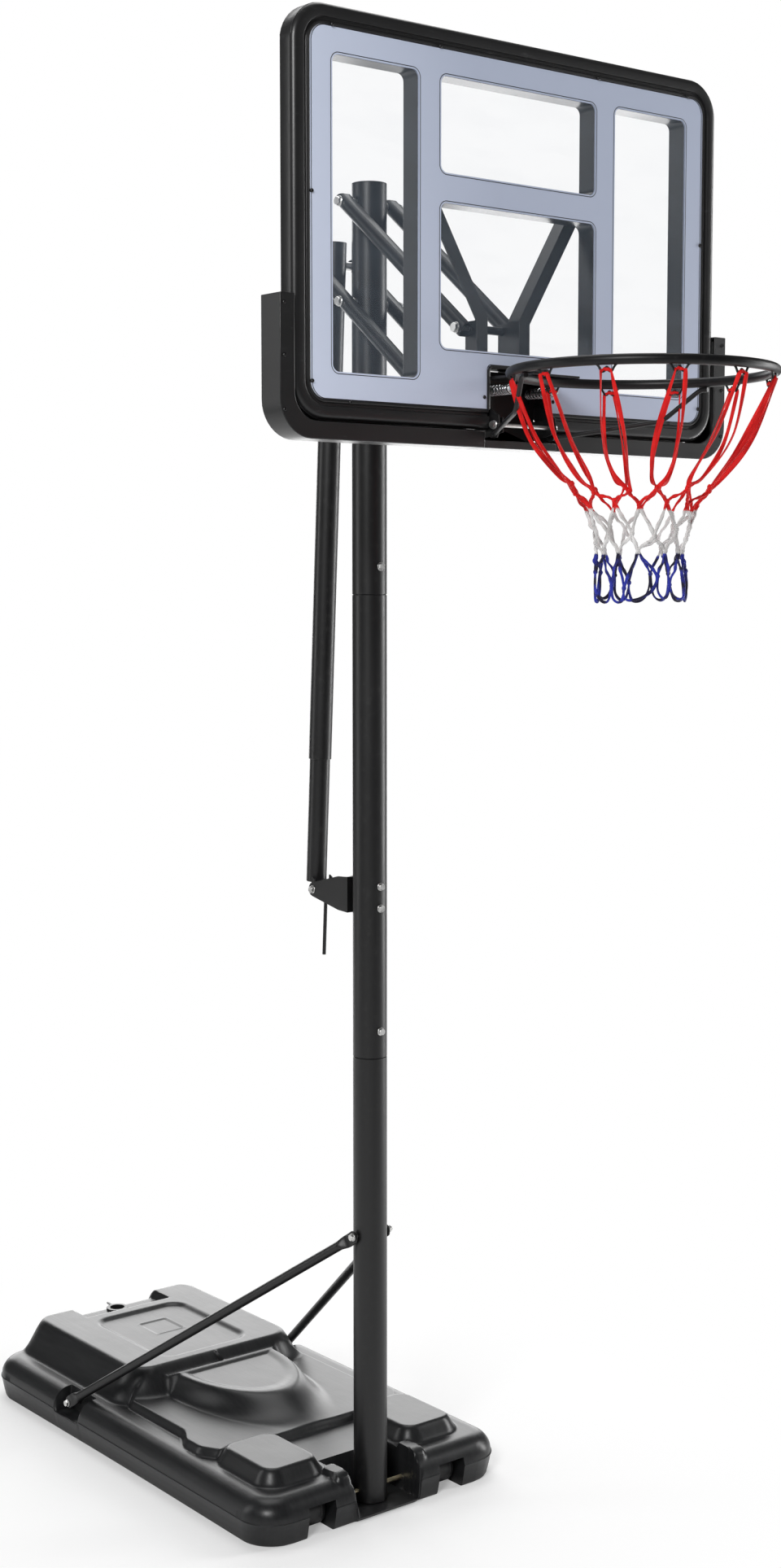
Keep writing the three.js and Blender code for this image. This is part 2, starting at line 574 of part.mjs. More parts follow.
// Each half of the jack's top pin: a bolt through the arm's rear end and a spacer that stops at the jack
// tube.
for (const [name, side] of [['left', -1], ['right', 1]]) {
  const { radius, washerRadius, washerHeight, headRadius, headHeight } = pivotBolt;
  const armInner = arm.x - arm.radius - gap;
  const armOuter = arm.x + arm.radius + gap;
  const tubeSide = jack.outerRadius + 1.5 * gap;
  const half = union([
    rod('x', radius, tubeSide, armOuter + washerHeight + 1, [0, 0], 12),
    rod('x', bush.radius, tubeSide, armInner, [0, 0], 16),
    rod('x', washerRadius, armOuter, armOuter + washerHeight, [0, 0], 16),
    rod('x', headRadius, armOuter + washerHeight - 0.2, armOuter + washerHeight + headHeight, [0, 0], 6),
  ]);
  add(liftGroups.lower, `jack_top_pin_${name}`, side > 0 ? half : mirrorX(half), zinc,
    { y: arm.jackReach });
}

// ---- screw jack --------------------------------------------------------------------------------

const jackPin = new THREE.Vector2(arm.jackReach * Math.cos(restTurn),
  lowerPivotZ + arm.jackReach * Math.sin(restTurn));
const pinDistance = Math.hypot(jackPin.x - jack.footY, jackPin.y - jack.footZ);
// The jack's axis runs axisOffset behind its foot pivot and through its top pin.
const jackTilt = Math.atan2(jack.footY - jackPin.x,
  jackPin.y - jack.footZ) + Math.asin(jack.axisOffset / pinDistance);
const pinAlong = Math.sqrt(pinDistance ** 2 - jack.axisOffset ** 2);

const jackGroup = new THREE.Group();
jackGroup.position.set(0, jack.footY, jack.footZ);
jackGroup.rotation.x = jackTilt;
hoop.add(jackGroup);
const jackAxis = new THREE.Group();
jackAxis.position.y = jack.axisOffset;
jackGroup.add(jackAxis);

function tube(outer, wall, z0, z1, segments = 28) {
  return turned([[outer, z0], [outer, z1], [outer - wall, z1], [outer - wall, z0]], segments);
}
const outerTop = pinAlong + jack.headAbovePin;
const outerFoot = outerTop - jack.outerLength;
const innerFoot = jack.innerFootAbovePivot;
const innerTop = innerFoot + jack.innerLength;
const nutInner = jack.screwRadius + gap;

const crossPin = rod('x', pivotBolt.radius, -jack.outerRadius + 0.4, jack.outerRadius - 0.4, [0,
  pinAlong], 12);
add(jackAxis, 'jack_outer_tube', tube(jack.outerRadius, jack.outerWall, outerFoot,
  outerTop).add(crossPin), blackSteel);

// Inner tube with a welded lug that carries the foot pivot, clear of the screw.
const lugHalf = jackBracket.halfWidth - jackBracket.plate - 1.2;
const lugFront = -jack.axisOffset - 11;
const lug = carve(plateYZ([[lugFront, -11], [lugFront, 11], [-jack.innerRadius + 6, 26],
  [-jack.innerRadius + 6, -11]],
  -lugHalf, lugHalf), [
  rod('x', bolt.radius + gap, -lugHalf - 1, lugHalf + 1, [-jack.axisOffset, 0], 12),
  boxSolid(-lugHalf + 4, lugHalf - 4, lugFront - 1, -jack.innerRadius + 3, -12, 30),
]);
const innerBore = rod('z', jack.innerRadius - jack.innerWall, -40, innerTop + 1, [0, 0], 28);
const footDisc = ring('z', jack.innerRadius - 0.2, jack.screwRadius + gap, innerFoot, innerFoot + 5, [0,
  0], 28);
const innerBody = union([
  rod('z', jack.innerRadius, innerFoot, innerTop, [0, 0], 28),
  lug.intersect(boxSolid(-60, 60, -60, -jack.innerRadius + 6, -20, 40)),
]);
add(jackAxis, 'jack_inner_tube', innerBody.subtract(innerBore).add(footDisc), blackSteel);

const screwTop = innerFoot + jack.screwLength;
const screwFoot = innerFoot - crank.socketLength;
add(jackAxis, 'jack_screw', union([
  rod('z', jack.screwRadius, innerFoot - 6, screwTop, [0, 0], 14),
  ring('z', jack.innerRadius - 8, jack.screwRadius - 1, innerFoot + 5 + gap, innerFoot + 11, [0, 0], 20),
]), springSteel);
const nutZ = innerTop + jack.stroke + 7;
add(jackAxis, 'jack_nut', ring('z', jack.outerRadius - jack.outerWall - gap, nutInner, nutZ,
  nutZ + jack.nutHeight, [0, 0], 28), zinc);

// Cranked handle: a socket on the screw's foot, a short throw and a long grip beside the axis.
const gripBottom = screwFoot - 12 - crank.drop;
const handle = bar([[0, 0, screwFoot + 4], [0, 0, screwFoot - 2], [3, 0, screwFoot - 5], [crank.throw - 3,
  0, screwFoot - 12],
  [crank.throw, 0, screwFoot - 16], [crank.throw, 0, gripBottom]], crank.radius, 18, 8);
const socket = rod('z', crank.socketRadius, screwFoot, innerFoot - 6 - gap, [0, 0], 16);
add(jackAxis, 'crank_handle', socket.add(handle), blackSteel);

// Bracket: two tapered cheeks joined by a saddle at the pole.
function jackBracketSolid() {
  const { halfWidth, plate, rootTopZ, rootBottomZ, noseRadius, rootY, shoulderY } = jackBracket;
  const nose = [];
  for (let i = 0; i <= 6; i++) {
    const angle = THREE.MathUtils.degToRad(-80 + i * 27);
    nose.push([jack.footY + noseRadius * Math.cos(angle), jack.footZ + noseRadius * Math.sin(angle)]);
  }
  const profile = [[rootY, rootBottomZ], [shoulderY, rootBottomZ + 2], ...nose, [shoulderY, rootTopZ - 2],
    [rootY, rootTopZ]];
  const cheeks = [-1, 1].map((side) => plateYZ(profile, side > 0 ? halfWidth - plate : -halfWidth,
    side > 0 ? halfWidth : -halfWidth + plate));
  const saddle = boxSolid(-halfWidth + 1, halfWidth - 1, rootY, rootY + plate + 1, rootBottomZ, rootTopZ);
  const holes = jackBracket.boltZ.map((z) => rod('y', bolt.radius + gap, rootY - 2, rootY + plate + 4, [0,
    z], 12));
  const pivotHole = rod('x', bolt.radius + gap, -halfWidth - 1, halfWidth + 1, [jack.footY, jack.footZ],
    12);
  return carve(union([...cheeks, saddle]), [...holes, pivotHole]);
}
add(poleGroup, 'jack_bracket', jackBracketSolid(), blackSteel);
const pivotGrip = 2 * (jackBracket.halfWidth + gap);
add(poleGroup, 'jack_foot_pivot_bolt', hexBolt(pivotGrip), zinc, { y: jack.footY, z: jack.footZ });
const bracketRear = jackBracket.rootY + jackBracket.plate + 1 + gap;
const bracketGrip = pole.radius + gap + bracketRear;
['top', 'bottom'].forEach((name, i) => {
  add(poleGroup, `jack_bracket_bolt_${name}`, hexBolt(bracketGrip), zinc, {
    y: (bracketRear - pole.radius - gap) / 2, z: jackBracket.boltZ[i], turnZ: Math.PI / 2,
  });
});

// ---- backboard ---------------------------------------------------------------------------------

const boardGroup = new THREE.Group();
hoop.add(boardGroup);
const frontPivotY = carrier.pivotY;
const frontPivotZ = [carrier.upperPivotZ, carrier.upperPivotZ - arm.spacing];
const carried = [0, -arm.length * Math.cos(restTurn) - carrier.pivotY,
  upperPivotZ - arm.length * Math.sin(restTurn) - carrier.upperPivotZ];
boardGroup.position.set(...carried);
const printZ0 = board.centreZ - board.printHalfHeight;
const printZ1 = board.centreZ + board.printHalfHeight;

const windowList = [
  [-sideWindow.outerX, -sideWindow.innerX, sideWindow.bottomZ, sideWindow.topZ, sideWindow.corner],
  [sideWindow.innerX, sideWindow.outerX, sideWindow.bottomZ, sideWindow.topZ, sideWindow.corner],
  [-upperWindow.halfWidth, upperWindow.halfWidth, upperWindow.bottomZ, upperWindow.topZ,
    upperWindow.corner],
  [-lowerWindow.halfWidth, lowerWindow.halfWidth, lowerWindow.bottomZ, lowerWindow.topZ,
    lowerWindow.corner],
];
const windowShape = ([x0, x1, z0, z1, r], grow) => roundedRect(x0 - grow, x1 + grow, z0 - grow, z1 + grow,
  r + grow * 0.6);
const notchBox = (grow, y0, y1) => boxSolid(-rimNotch.halfWidth - grow, rimNotch.halfWidth + grow, y0, y1,
  guard.bottomZ - 20, rimNotch.topZ + grow);

// Moulded frame: an outer rim round the sheet, and a rear-open rib shell behind the printed bands.
function backboardFrame() {
  const outer = (inset) => roundedRect(-board.halfWidth + inset, board.halfWidth - inset,
    board.centreZ - board.halfHeight + inset,
    board.centreZ + board.halfHeight - inset, board.corner - inset * 0.5);
  const seat = roundedRect(-printHalfWidth, printHalfWidth, printZ0, printZ1, board.printCorner);
  const shellFront = sheet.frontY + sheet.thickness + gap;
  const inset = board.ribWall;
  const pocketOutline = roundedRect(-printHalfWidth + inset, printHalfWidth - inset, printZ0 + inset,
    printZ1 - inset, 28);
  pocketOutline.holes = windowList.map((box) => windowShape(box, board.ribWall));
  const notchWall = notchBox(board.ribWall, shellFront, board.ribRearY);
  const pocket = plateXZ(pocketOutline, shellFront + board.skin, board.ribRearY + 1, 3).subtract(notchWall);
  const rimPocketOutline = outer(4);
  rimPocketOutline.holes = [roundedRect(-printHalfWidth - 4, printHalfWidth + 4, printZ0 - 4, printZ1 + 4,
    36)];
  const body = union([
    plateXZ(outer(0), board.frontY, board.rimRearY),
    plateXZ(roundedRect(-printHalfWidth - 4, printHalfWidth + 4, printZ0 - 4, printZ1 + 4, 36), -440,
      board.ribRearY, 3),
  ]);
  return carve(body, [
    plateXZ(seat, board.frontY - 1, shellFront, 4), pocket,
    plateXZ(rimPocketOutline, board.frontY + 5, board.rimRearY + 1, 3).subtract(notchBox(6, board.frontY,
      board.rimRearY + 2)),
    ...windowList.map((box) => plateXZ(windowShape(box, 0), board.frontY - 1, board.ribRearY + 2, 3)),
    notchBox(0, board.frontY - 1, board.ribRearY + 2),
  ]);
}
add(boardGroup, 'backboard_frame', backboardFrame(), blackPlastic);

function clearSheetSolid() {
  const { edgeGap, frontY, thickness } = sheet;
  const outline = roundedRect(-printHalfWidth + edgeGap, printHalfWidth - edgeGap, printZ0 + edgeGap,
    printZ1 - edgeGap,
    board.printCorner);
  return plateXZ(outline, frontY, frontY + thickness, 4).subtract(notchBox(edgeGap, frontY - 1,
    frontY + thickness + 1));
}
add(boardGroup, 'backboard_sheet', clearSheetSolid(), clearSheet);

// U-shaped guard round the lower third of the frame, a channel open towards it, cut into three.
function guardRing() {
  const { halfWidth, bottomZ, topZ, corner, frontY, rearY, wall, lip } = guard;
  const outline = (inset, top) => roundedRect(-halfWidth + inset, halfWidth - inset, bottomZ + inset, top,
    Math.max(6, corner - inset * 0.6));
  const ringSolid = plateXZ(outline(0, topZ + 200), frontY, rearY);
  const opening = plateXZ(outline(lip, topZ + 190), frontY - 1, rearY + 1);
  const frameSeat = plateXZ(outline(halfWidth - board.halfWidth - gap, topZ + 190), board.frontY - gap,
    rearY + 1);
  const channel = plateXZ(outline(wall, topZ + 195), frontY + wall, rearY - wall);
  const below = boxSolid(-halfWidth - 5, halfWidth + 5, frontY - 5, rearY + 5, topZ - wall, topZ + 300);
  const lid = boxSolid(-halfWidth - 5, halfWidth + 5, frontY - 5, rearY + 5, topZ, topZ + 300);
  const channelCut = channel.subtract(below);
  return carve(ringSolid, [opening, frameSeat, channelCut, lid]);
}
const guardAll = guardRing();
const seam = guard.centreHalfWidth;
const guardBox = (x0, x1) => boxSolid(x0, x1, guard.frontY - 5, guard.rearY + 5, guard.bottomZ - 5,
  guard.topZ + 5);
add(boardGroup, 'guard_left', guardAll.intersect(guardBox(-guard.halfWidth - 5, -seam)), blackPlastic);
add(boardGroup, 'guard_right', guardAll.intersect(guardBox(seam, guard.halfWidth + 5)), blackPlastic);
const lowBox = boxSolid(-seam + gap, seam - gap, guard.frontY - 5, guard.rearY + 5, guard.bottomZ - 5,
  guard.centreTopZ);
add(boardGroup, 'guard_centre', guardAll.intersect(lowBox), blackPlastic);

// Angle strips behind the board: upright between the pivots, then splayed outwards to the middle rib.
function boardBracket() {
  const { x, thickness, webDepth, flange, bottomZ, bendZ, topX, topZ, legWeb } = bracket;
  const frontY = board.ribRearY + gap;
  const run = new THREE.Vector2(topX - x, topZ - bendZ).normalize();
  const leg = (width) => polygonXZ([[x, bendZ - 6], [x, bendZ], [topX, topZ], [topX + width * run.y,
    topZ - width * run.x],
    [x + width, bendZ - 0.25 * width], [x + width, bendZ - 6]]);
  const upright = polygonXZ([[x, bottomZ], [x + flange, bottomZ], [x + flange, bendZ], [x, bendZ]]);
  const web = polygonXZ([[x, bottomZ], [x + thickness, bottomZ], [x + thickness, bendZ - 3], [x,
    bendZ - 3]]);
  const holes = frontPivotZ.map((z) => rod('x', pivotBolt.radius + gap, x - 5, x + thickness + 5,
    [frontPivotY, z], 12));
  holes.push(rod('y', bolt.radius + gap, frontY - 2, frontY + thickness + 2, [spring.x, spring.z], 12));
  return carve(union([
    plateXZ(upright, frontY, frontY + thickness), plateXZ(leg(flange), frontY, frontY + thickness),
    plateXZ(web, frontY, frontY + webDepth), plateXZ(leg(thickness), frontY, frontY + legWeb),
  ]), holes);
}
const leftBracket = mirrorX(boardBracket());
add(boardGroup, 'board_bracket_left', leftBracket, blackSteel);
add(boardGroup, 'board_bracket_right', boardBracket(), blackSteel);

['upper', 'lower'].forEach((level, i) => {
  const place = { y: frontPivotY, z: frontPivotZ[i] };
  add(boardGroup, `${level}_front_pivot_bolt`, hexBolt(armGrip, pivotBolt), zinc, place);
  const half = bracket.x - gap;
  add(boardGroup, `${level}_front_sleeve`, ring('x', sleeveRadius, pivotBolt.radius + gap, -half, half,
    [0, 0], 16), blackSteel, place);
});

// ---- rim ---------------------------------------------------------------------------------------

const plateRear = mountPlate.y - mountPlate.thickness - gap;      // rear face of the tilting rim plate
const plateFront = plateRear - rimPlate.thickness;
const springRear = plateFront - gap;
const springFront = springRear - spring.length;

function mountPlateSolid() {
  const { y, thickness, halfWidth, bottomZ, topZ, earX, earTopZ } = mountPlate;
  const plate = boxSolid(-halfWidth, halfWidth, y - thickness, y, bottomZ, topZ);
  const ears = [-1, 1].map((side) => {
    const a = side * earX;
    const b = side * (earX + 3);
    return plateYZ([[y - 1, bottomZ], [hinge.y - 12, bottomZ + 12], [hinge.y - 12, earTopZ], [y - 1,
      earTopZ]],
      Math.min(a, b), Math.max(a, b));
  });
  const holes = [-1, 1].map((side) => rod('y', bolt.radius + gap, y - thickness - 2, y + 2,
    [side * spring.x, spring.z], 12));
  return carve(union([plate, ...ears]), [...holes, rod('x', bolt.radius + gap, -halfWidth - 2,
    halfWidth + 2, [hinge.y, hinge.z], 12)]);
}
add(boardGroup, 'rim_mount_plate', mountPlateSolid(), blackSteel);
const hingeGrip = 2 * (rimPlate.halfWidth + gap);
add(boardGroup, 'rim_hinge_bolt', hexBolt(hingeGrip), zinc, { y: hinge.y, z: hinge.z });

// Spring bolts: head behind the bracket's flange, washer and nut in front of the spring.
const springBoltRear = board.ribRearY + gap + bracket.thickness + gap;
const springBoltGrip = springBoltRear - springFront + gap;
for (const [name, side] of [['left', -1], ['right', 1]]) {
  add(boardGroup, `spring_bolt_${name}`, hexBolt(springBoltGrip).rotate([0, 0, -90]), zinc, {
    x: side * spring.x, y: (springBoltRear + springFront - gap) / 2, z: spring.z,
  });
}

const rimGroup = new THREE.Group();
rimGroup.position.set(...carried);
hoop.add(rimGroup);

// Tilting plate: a back with a shelf over the ring and two cheeks on the hinge. Its bolt holes are
// slots, so
// that it can swing while the spring bolts stay put.
function rimPlateSolid() {
  const { thickness, halfWidth, bottomZ, cheekTopZ, cheekBottomZ, noseY, shelfFrontY,
    shelfFrontHalfWidth } = rimPlate;
  const shelfZ = rim.z + rim.tube + weldGap;
  const back = boxSolid(-halfWidth, halfWidth, plateFront, plateRear, bottomZ, shelfZ + thickness);
  const shelfShape = new THREE.Shape([[-halfWidth, plateFront + 1], [-shelfFrontHalfWidth, shelfFrontY],
    [shelfFrontHalfWidth, shelfFrontY], [halfWidth, plateFront + 1]].map(([x, y]) => new THREE.Vector2(x,
      y)));
  const shelf = toSolid(new THREE.ExtrudeGeometry(shelfShape, { depth: thickness,
    bevelEnabled: false }).translate(0, 0, shelfZ));
  const profile = [[plateFront + 1, cheekTopZ], [plateFront - 17, cheekTopZ - 3], [noseY + 4,
    hinge.z + 18], [noseY, hinge.z - 6],
    [noseY + 8, cheekBottomZ], [noseY + 24, cheekBottomZ], [plateFront + 1, bottomZ]];
  const cheeks = [-1, 1].map((side) => {
    const a = side * (halfWidth - 3);
    const b = side * halfWidth;
    return plateYZ(profile, Math.min(a, b), Math.max(a, b));
  });
  const slots = [-1, 1].map((side) => boxSolid(side * spring.x - bolt.radius - 2,
    side * spring.x + bolt.radius + 2,
    plateFront - 2, plateRear + 2, spring.z - 18, spring.z + bolt.radius + 4));
  const pivot = rod('x', bolt.radius + gap, -halfWidth - 2, halfWidth + 2, [hinge.y, hinge.z], 12);
  return carve(union([back, shelf, ...cheeks]), [...slots, pivot]);
}
add(rimGroup, 'rim_plate', rimPlateSolid(), blackSteel);

const ringRadius = rim.innerRadius + rim.tube;
// Net hook: a wire loop hanging from the ring's underside, in the plane tangent to the ring.
function netHook(angle) {
  const { hookHalfWidth: w, hookDrop, hookWire } = rim;
  const top = -rim.tube + 2;
  const loop = bar([[0, -w, top], [0, -w, -rim.tube - 4], [0, -w * 0.55, -hookDrop + 2], [0, 0, -hookDrop],
    [0, w * 0.55, -hookDrop + 2], [0, w, -rim.tube - 4], [0, w, top]], hookWire, 6, 4);
  return loop.translate([ringRadius, 0, 0]).rotate([0, 0, THREE.MathUtils.radToDeg(angle)]);
}
const torus = toSolid(new THREE.TorusGeometry(ringRadius, rim.tube, 8, 48));
const hookAngles = Array.from({ length: rim.hooks }, (_, i) => (i * 2 * Math.PI) / rim.hooks);
add(rimGroup, 'rim_ring', union([torus, ...hookAngles.map(netHook)]), blackSteel, { y: rimCentreY,
  z: rim.z });

// Brace rods from the ring's sides back to the foot of the rim plate.
const braceFlat = brace.radius * Math.cos(Math.PI / 8);
const braceRingZ = rim.z - rim.tube - braceFlat - weldGap;
const braceFootX = rimPlate.halfWidth + weldGap + braceFlat;
function braceRod(side, radius) {
  const { kneeX, kneeY, kneeZ, footY, footZ } = brace;
  const ringAngle = THREE.MathUtils.degToRad(brace.ringAngleDeg);
  const ringX = ringRadius * Math.cos(ringAngle);
  const ringY = rimCentreY + ringRadius * Math.sin(ringAngle);
  return bar([[side * (ringX + 2.2), ringY - 7.7, braceRingZ], [side * (ringX - 2.2), ringY + 7.7,
    braceRingZ],
    [side * (kneeX + 8), kneeY - 12, kneeZ + 8], [side * (kneeX - 8), kneeY + 12, kneeZ - 2],
    [side * (braceFootX + 10), footY - 17, footZ + 2], [side * braceFootX, footY, footZ]], radius, 16, 8);
}
for (const [name, side] of [['left', -1], ['right', 1]]) {
  add(rimGroup, `rim_brace_${name}`, braceRod(side, brace.radius), blackSteel);
}

// Coil spring round each spring bolt, along Y, with its two ends ground flat.
function coilSpring() {
  const { radius, wire, length, turns } = spring;
  const helix = new (class extends THREE.Curve {
    getPoint(t) {
      const angle = 2 * Math.PI * turns * t;
      const along = wire * 0.55 + (length - 1.1 * wire) * t;
      return new THREE.Vector3((radius - wire) * Math.cos(angle), -along,
        (radius - wire) * Math.sin(angle));
    }
  })();
  const section = new THREE.Shape();
  for (let i = 0; i < 4; i++) {
    const angle = (2 * Math.PI * i) / 4;
    section[i ? 'lineTo' : 'moveTo'](wire * Math.cos(angle), wire * Math.sin(angle));
  }
  section.closePath();
  const coil = toSolid(new THREE.ExtrudeGeometry(section, { steps: turns * 8, bevelEnabled: false,
    extrudePath: helix }));
  return coil.intersect(boxSolid(-20, 20, -length, 0, -20, 20));
}
for (const [name, side] of [['left', -1], ['right', 1]]) {
  add(rimGroup, `rim_spring_${name}`, coilSpring(), springSteel, { x: side * spring.x, y: springRear,
    z: spring.z });
}

// The net's outer shape: an open bag that narrows from the hooks to the neck, cut away round the braces.
function netBag() {
  const { wall, shoulder, middle, waist, neck, bottom } = net;
  const topZ = rim.z - rim.hookDrop - rim.hookWire - gap;
  const below = [shoulder, middle, waist, neck, bottom].map(([radius, depth]) => [radius, topZ - depth]);
  const levels = [[ringRadius + wall / 2, topZ], ...below];
  return turned([...levels, ...levels.reverse().map(([r, z]) => [r - wall, z])], 24);
}
const braceRoom = [-1, 1].map((side) => braceRod(side, brace.radius + 1.5).translate([0, -rimCentreY, 0]));
add(rimGroup, 'net', carve(netBag(), braceRoom), netCord, { y: rimCentreY });

export default hoop;
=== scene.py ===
import json
import math

import bmesh
import bpy
import numpy as np
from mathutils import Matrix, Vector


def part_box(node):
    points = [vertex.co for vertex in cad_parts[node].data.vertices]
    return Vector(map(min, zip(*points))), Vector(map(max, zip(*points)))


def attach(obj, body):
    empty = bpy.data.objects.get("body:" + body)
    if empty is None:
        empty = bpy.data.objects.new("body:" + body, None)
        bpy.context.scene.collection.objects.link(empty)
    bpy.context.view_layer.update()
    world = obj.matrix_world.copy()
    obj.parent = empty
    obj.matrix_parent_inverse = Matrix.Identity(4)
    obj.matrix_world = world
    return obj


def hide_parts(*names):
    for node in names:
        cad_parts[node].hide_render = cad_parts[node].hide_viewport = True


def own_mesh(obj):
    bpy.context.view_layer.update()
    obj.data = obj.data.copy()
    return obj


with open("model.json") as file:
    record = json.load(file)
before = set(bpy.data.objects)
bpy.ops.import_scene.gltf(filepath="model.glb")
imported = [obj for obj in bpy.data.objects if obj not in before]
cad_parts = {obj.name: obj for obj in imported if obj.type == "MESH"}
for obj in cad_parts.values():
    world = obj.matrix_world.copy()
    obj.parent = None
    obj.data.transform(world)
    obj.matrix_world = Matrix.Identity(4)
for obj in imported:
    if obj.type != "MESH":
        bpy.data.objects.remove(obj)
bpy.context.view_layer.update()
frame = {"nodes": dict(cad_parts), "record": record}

nodes = frame["nodes"]
bodyOf = {n: body for body, names in frame["record"]["behaviour"]["bodies"].items() for n in names}
mm = 0.001
tau = 2 * math.pi
rng = np.random.default_rng(7)


# ---------- mesh helpers ----------

def smooth(t):
    # 3t^2 - 2t^3 on t held between 0 and 1
    t = np.clip(t, 0, 1)
    return t * t * (3 - 2 * t)


def outsideBox(x, y, hx, hy, r):
    # distance outside a box of half sizes hx, hy with corners of radius r, negative inside
    qx = np.abs(x) - hx + r
    qy = np.abs(y) - hy + r
    return np.hypot(np.maximum(qx, 0), np.maximum(qy, 0)) + np.minimum(np.maximum(qx, qy), 0) - r


class Surfaces:
    # gathers grids of points and writes them as one mesh; seams are doubled columns that get merged

    def __init__(self):
        self.points, self.quads, self.uvs, self.count = [], [], [], 0

    def grid(self, points, uScale=1.0):
        # points, in mm, has the shape (rows, columns, 3); each cell between four neighbours is one face
        nu, nv = points.shape[:2]
        index = np.arange(nu * nv).reshape(nu, nv) + self.count
        quads = np.stack([index[:-1, :-1], index[1:, :-1], index[1:, 1:], index[:-1, 1:]], -1).reshape(-1, 4)
        u, v = np.meshgrid(np.linspace(0, uScale, nu), np.linspace(0, 1, nv), indexing="ij")
        self.points.append(points.reshape(-1, 3) * mm)
        self.uvs.append(np.stack([u, v], -1).reshape(-1, 2))
        self.quads.append(quads)
        self.count += nu * nv
        return self

    def mesh(self, name):
        points, quads = np.concatenate(self.points), np.concatenate(self.quads)
        uvs = np.concatenate(self.uvs)
        mesh = bpy.data.meshes.new(name)
        mesh.from_pydata(points.tolist(), [], quads.tolist())
        layer = mesh.uv_layers.new(name="UVMap")
        layer.data.foreach_set("uv", uvs[quads.ravel()].astype(np.float32).ravel())
        bm = bmesh.new()
        bm.from_mesh(mesh)
        bmesh.ops.remove_doubles(bm, verts=bm.verts, dist=2e-6)
        bmesh.ops.recalc_face_normals(bm, faces=bm.faces)
        bm.to_mesh(mesh)
        bm.free()
        return mesh


def finishPiece(name, shape, body, slot, material, replaced, sharp=35):
    # a piece from gathered surfaces or from a mesh, with its body, finish and the CAD nodes it stands for
    mesh = shape.mesh(name) if isinstance(shape, Surfaces) else shape
    mesh.shade_smooth()
    mesh.set_sharp_from_angle(angle=math.radians(sharp))
    piece = bpy.data.objects.new(name, mesh)
    bpy.context.scene.collection.objects.link(piece)
    mesh.materials.clear()
    mesh.materials.append(material)
    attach(piece, body)
    if replaced:
        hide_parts(*replaced)
    return piece


def turned(profile, segments=64, axis="z", centre=(0, 0, 0), hexagon=None):
    # a profile of (radius, height) carried round an axis; hexagon holds how much each row follows a hexagon
    profile = np.array(profile, float)
    angle = np.linspace(0, tau, segments + 1)
    radius = np.repeat(profile[:, :1], segments + 1, 1)
    if hexagon is not None:
        # a hexagon's radius is its flat distance over the cosine of the angle from the nearest flat
        flat = 1 / np.cos((angle + math.pi / 6) % (math.pi / 3) - math.pi / 6)
        share = np.array(hexagon, float)[:, None]
        radius = radius * (1 - share + share * flat * math.cos(math.pi / 6))
    across, up = radius * np.cos(angle), radius * np.sin(angle)
    along = np.repeat(profile[:, 1:], segments + 1, 1)
    order = {"x": (along, across, up), "y": (across, along, up), "z": (across, up, along)}[axis]
    return np.stack(order, -1) + np.array(centre, float)


def swept(path, radius, sides, up=(0, 0, 1), flat=1.0, twist=0.0):
    # a ring of points in the plane across the path's tangent: side = tangent x up, rise = side x tangent
    path = np.asarray(path, float)
    tangent = np.gradient(path, axis=0)
    tangent /= np.linalg.norm(tangent, axis=1, keepdims=True)
    side = np.cross(tangent, np.broadcast_to(np.asarray(up, float), path.shape))
    side /= np.linalg.norm(side, axis=1, keepdims=True) + 1e-12
    rise = np.cross(side, tangent)
    angle = np.linspace(0, tau, sides + 1)[None, :, None]
    radius = np.broadcast_to(np.asarray(radius, float), len(path))[:, None, None]
    turn = np.broadcast_to(np.asarray(twist, float), len(path))[:, None, None]
    a, b = np.cos(angle) * radius, np.sin(angle) * radius * flat
    ring = (path[:, None] + side[:, None] * (a * np.cos(turn) - b * np.sin(turn))
            + rise[:, None] * (a * np.sin(turn) + b * np.cos(turn)))
    first, last = (np.repeat(path[[k], None], sides + 1, 1) for k in (0, -1))
    return np.concatenate([first, ring, last])


def rounded(points, bend, perCorner=8):
    # a path of straight runs whose corners are quadratic curves: (1-t)^2 a + 2t(1-t) b + t^2 c
    points = [np.array(p, float) for p in points]
    path = [points[0][None]]
    t = np.linspace(0, 1, perCorner)[:, None]
    for before, corner, after in zip(points, points[1:], points[2:]):
        back = min(bend, 0.45 * np.linalg.norm(before - corner))
        ahead = min(bend, 0.45 * np.linalg.norm(after - corner))
        a = corner + (before - corner) / np.linalg.norm(before - corner) * back
        c = corner + (after - corner) / np.linalg.norm(after - corner) * ahead
        path.append((1 - t) ** 2 * a + 2 * t * (1 - t) * corner + t ** 2 * c)
    return np.concatenate(path + [points[-1][None]])


def spline(points, count):
    # Catmull-Rom through the points: a cubic on each run with slopes of half the neighbours' difference
    points = np.asarray(points, float)
    padded = np.concatenate([2 * points[:1] - points[1:2], points, 2 * points[-1:] - points[-2:-1]])
    t = np.linspace(0, len(points) - 1, count)
    i = np.minimum(t.astype(int), len(points) - 2)
    f = (t - i)[:, None]
    p0, p1, p2, p3 = (padded[i + k] for k in range(4))
    bend = 2 * p0 - 5 * p1 + 4 * p2 - p3
    return 0.5 * (2 * p1 + (p2 - p0) * f + bend * f ** 2 + (3 * p1 - p0 - 3 * p2 + p3) * f ** 3)


def capped(grid):
    # closes both ends of a swept section with the section's middle point
    ends = [np.broadcast_to(grid[k].mean(0), grid[:1].shape) for k in (0, -1)]
    return np.concatenate([ends[0], grid, ends[1]])


def cleanCopy(node):
    # the CAD shape with its loose triangles merged and its flat faces joined
    mesh = nodes[node].data.copy()
    bm = bmesh.new()
    bm.from_mesh(mesh)
    bmesh.ops.remove_doubles(bm, verts=bm.verts, dist=1e-5)
    bmesh.ops.dissolve_limit(bm, angle_limit=math.radians(0.6), verts=bm.verts, edges=bm.edges)
    bm.to_mesh(mesh)
    bm.free()
    return mesh


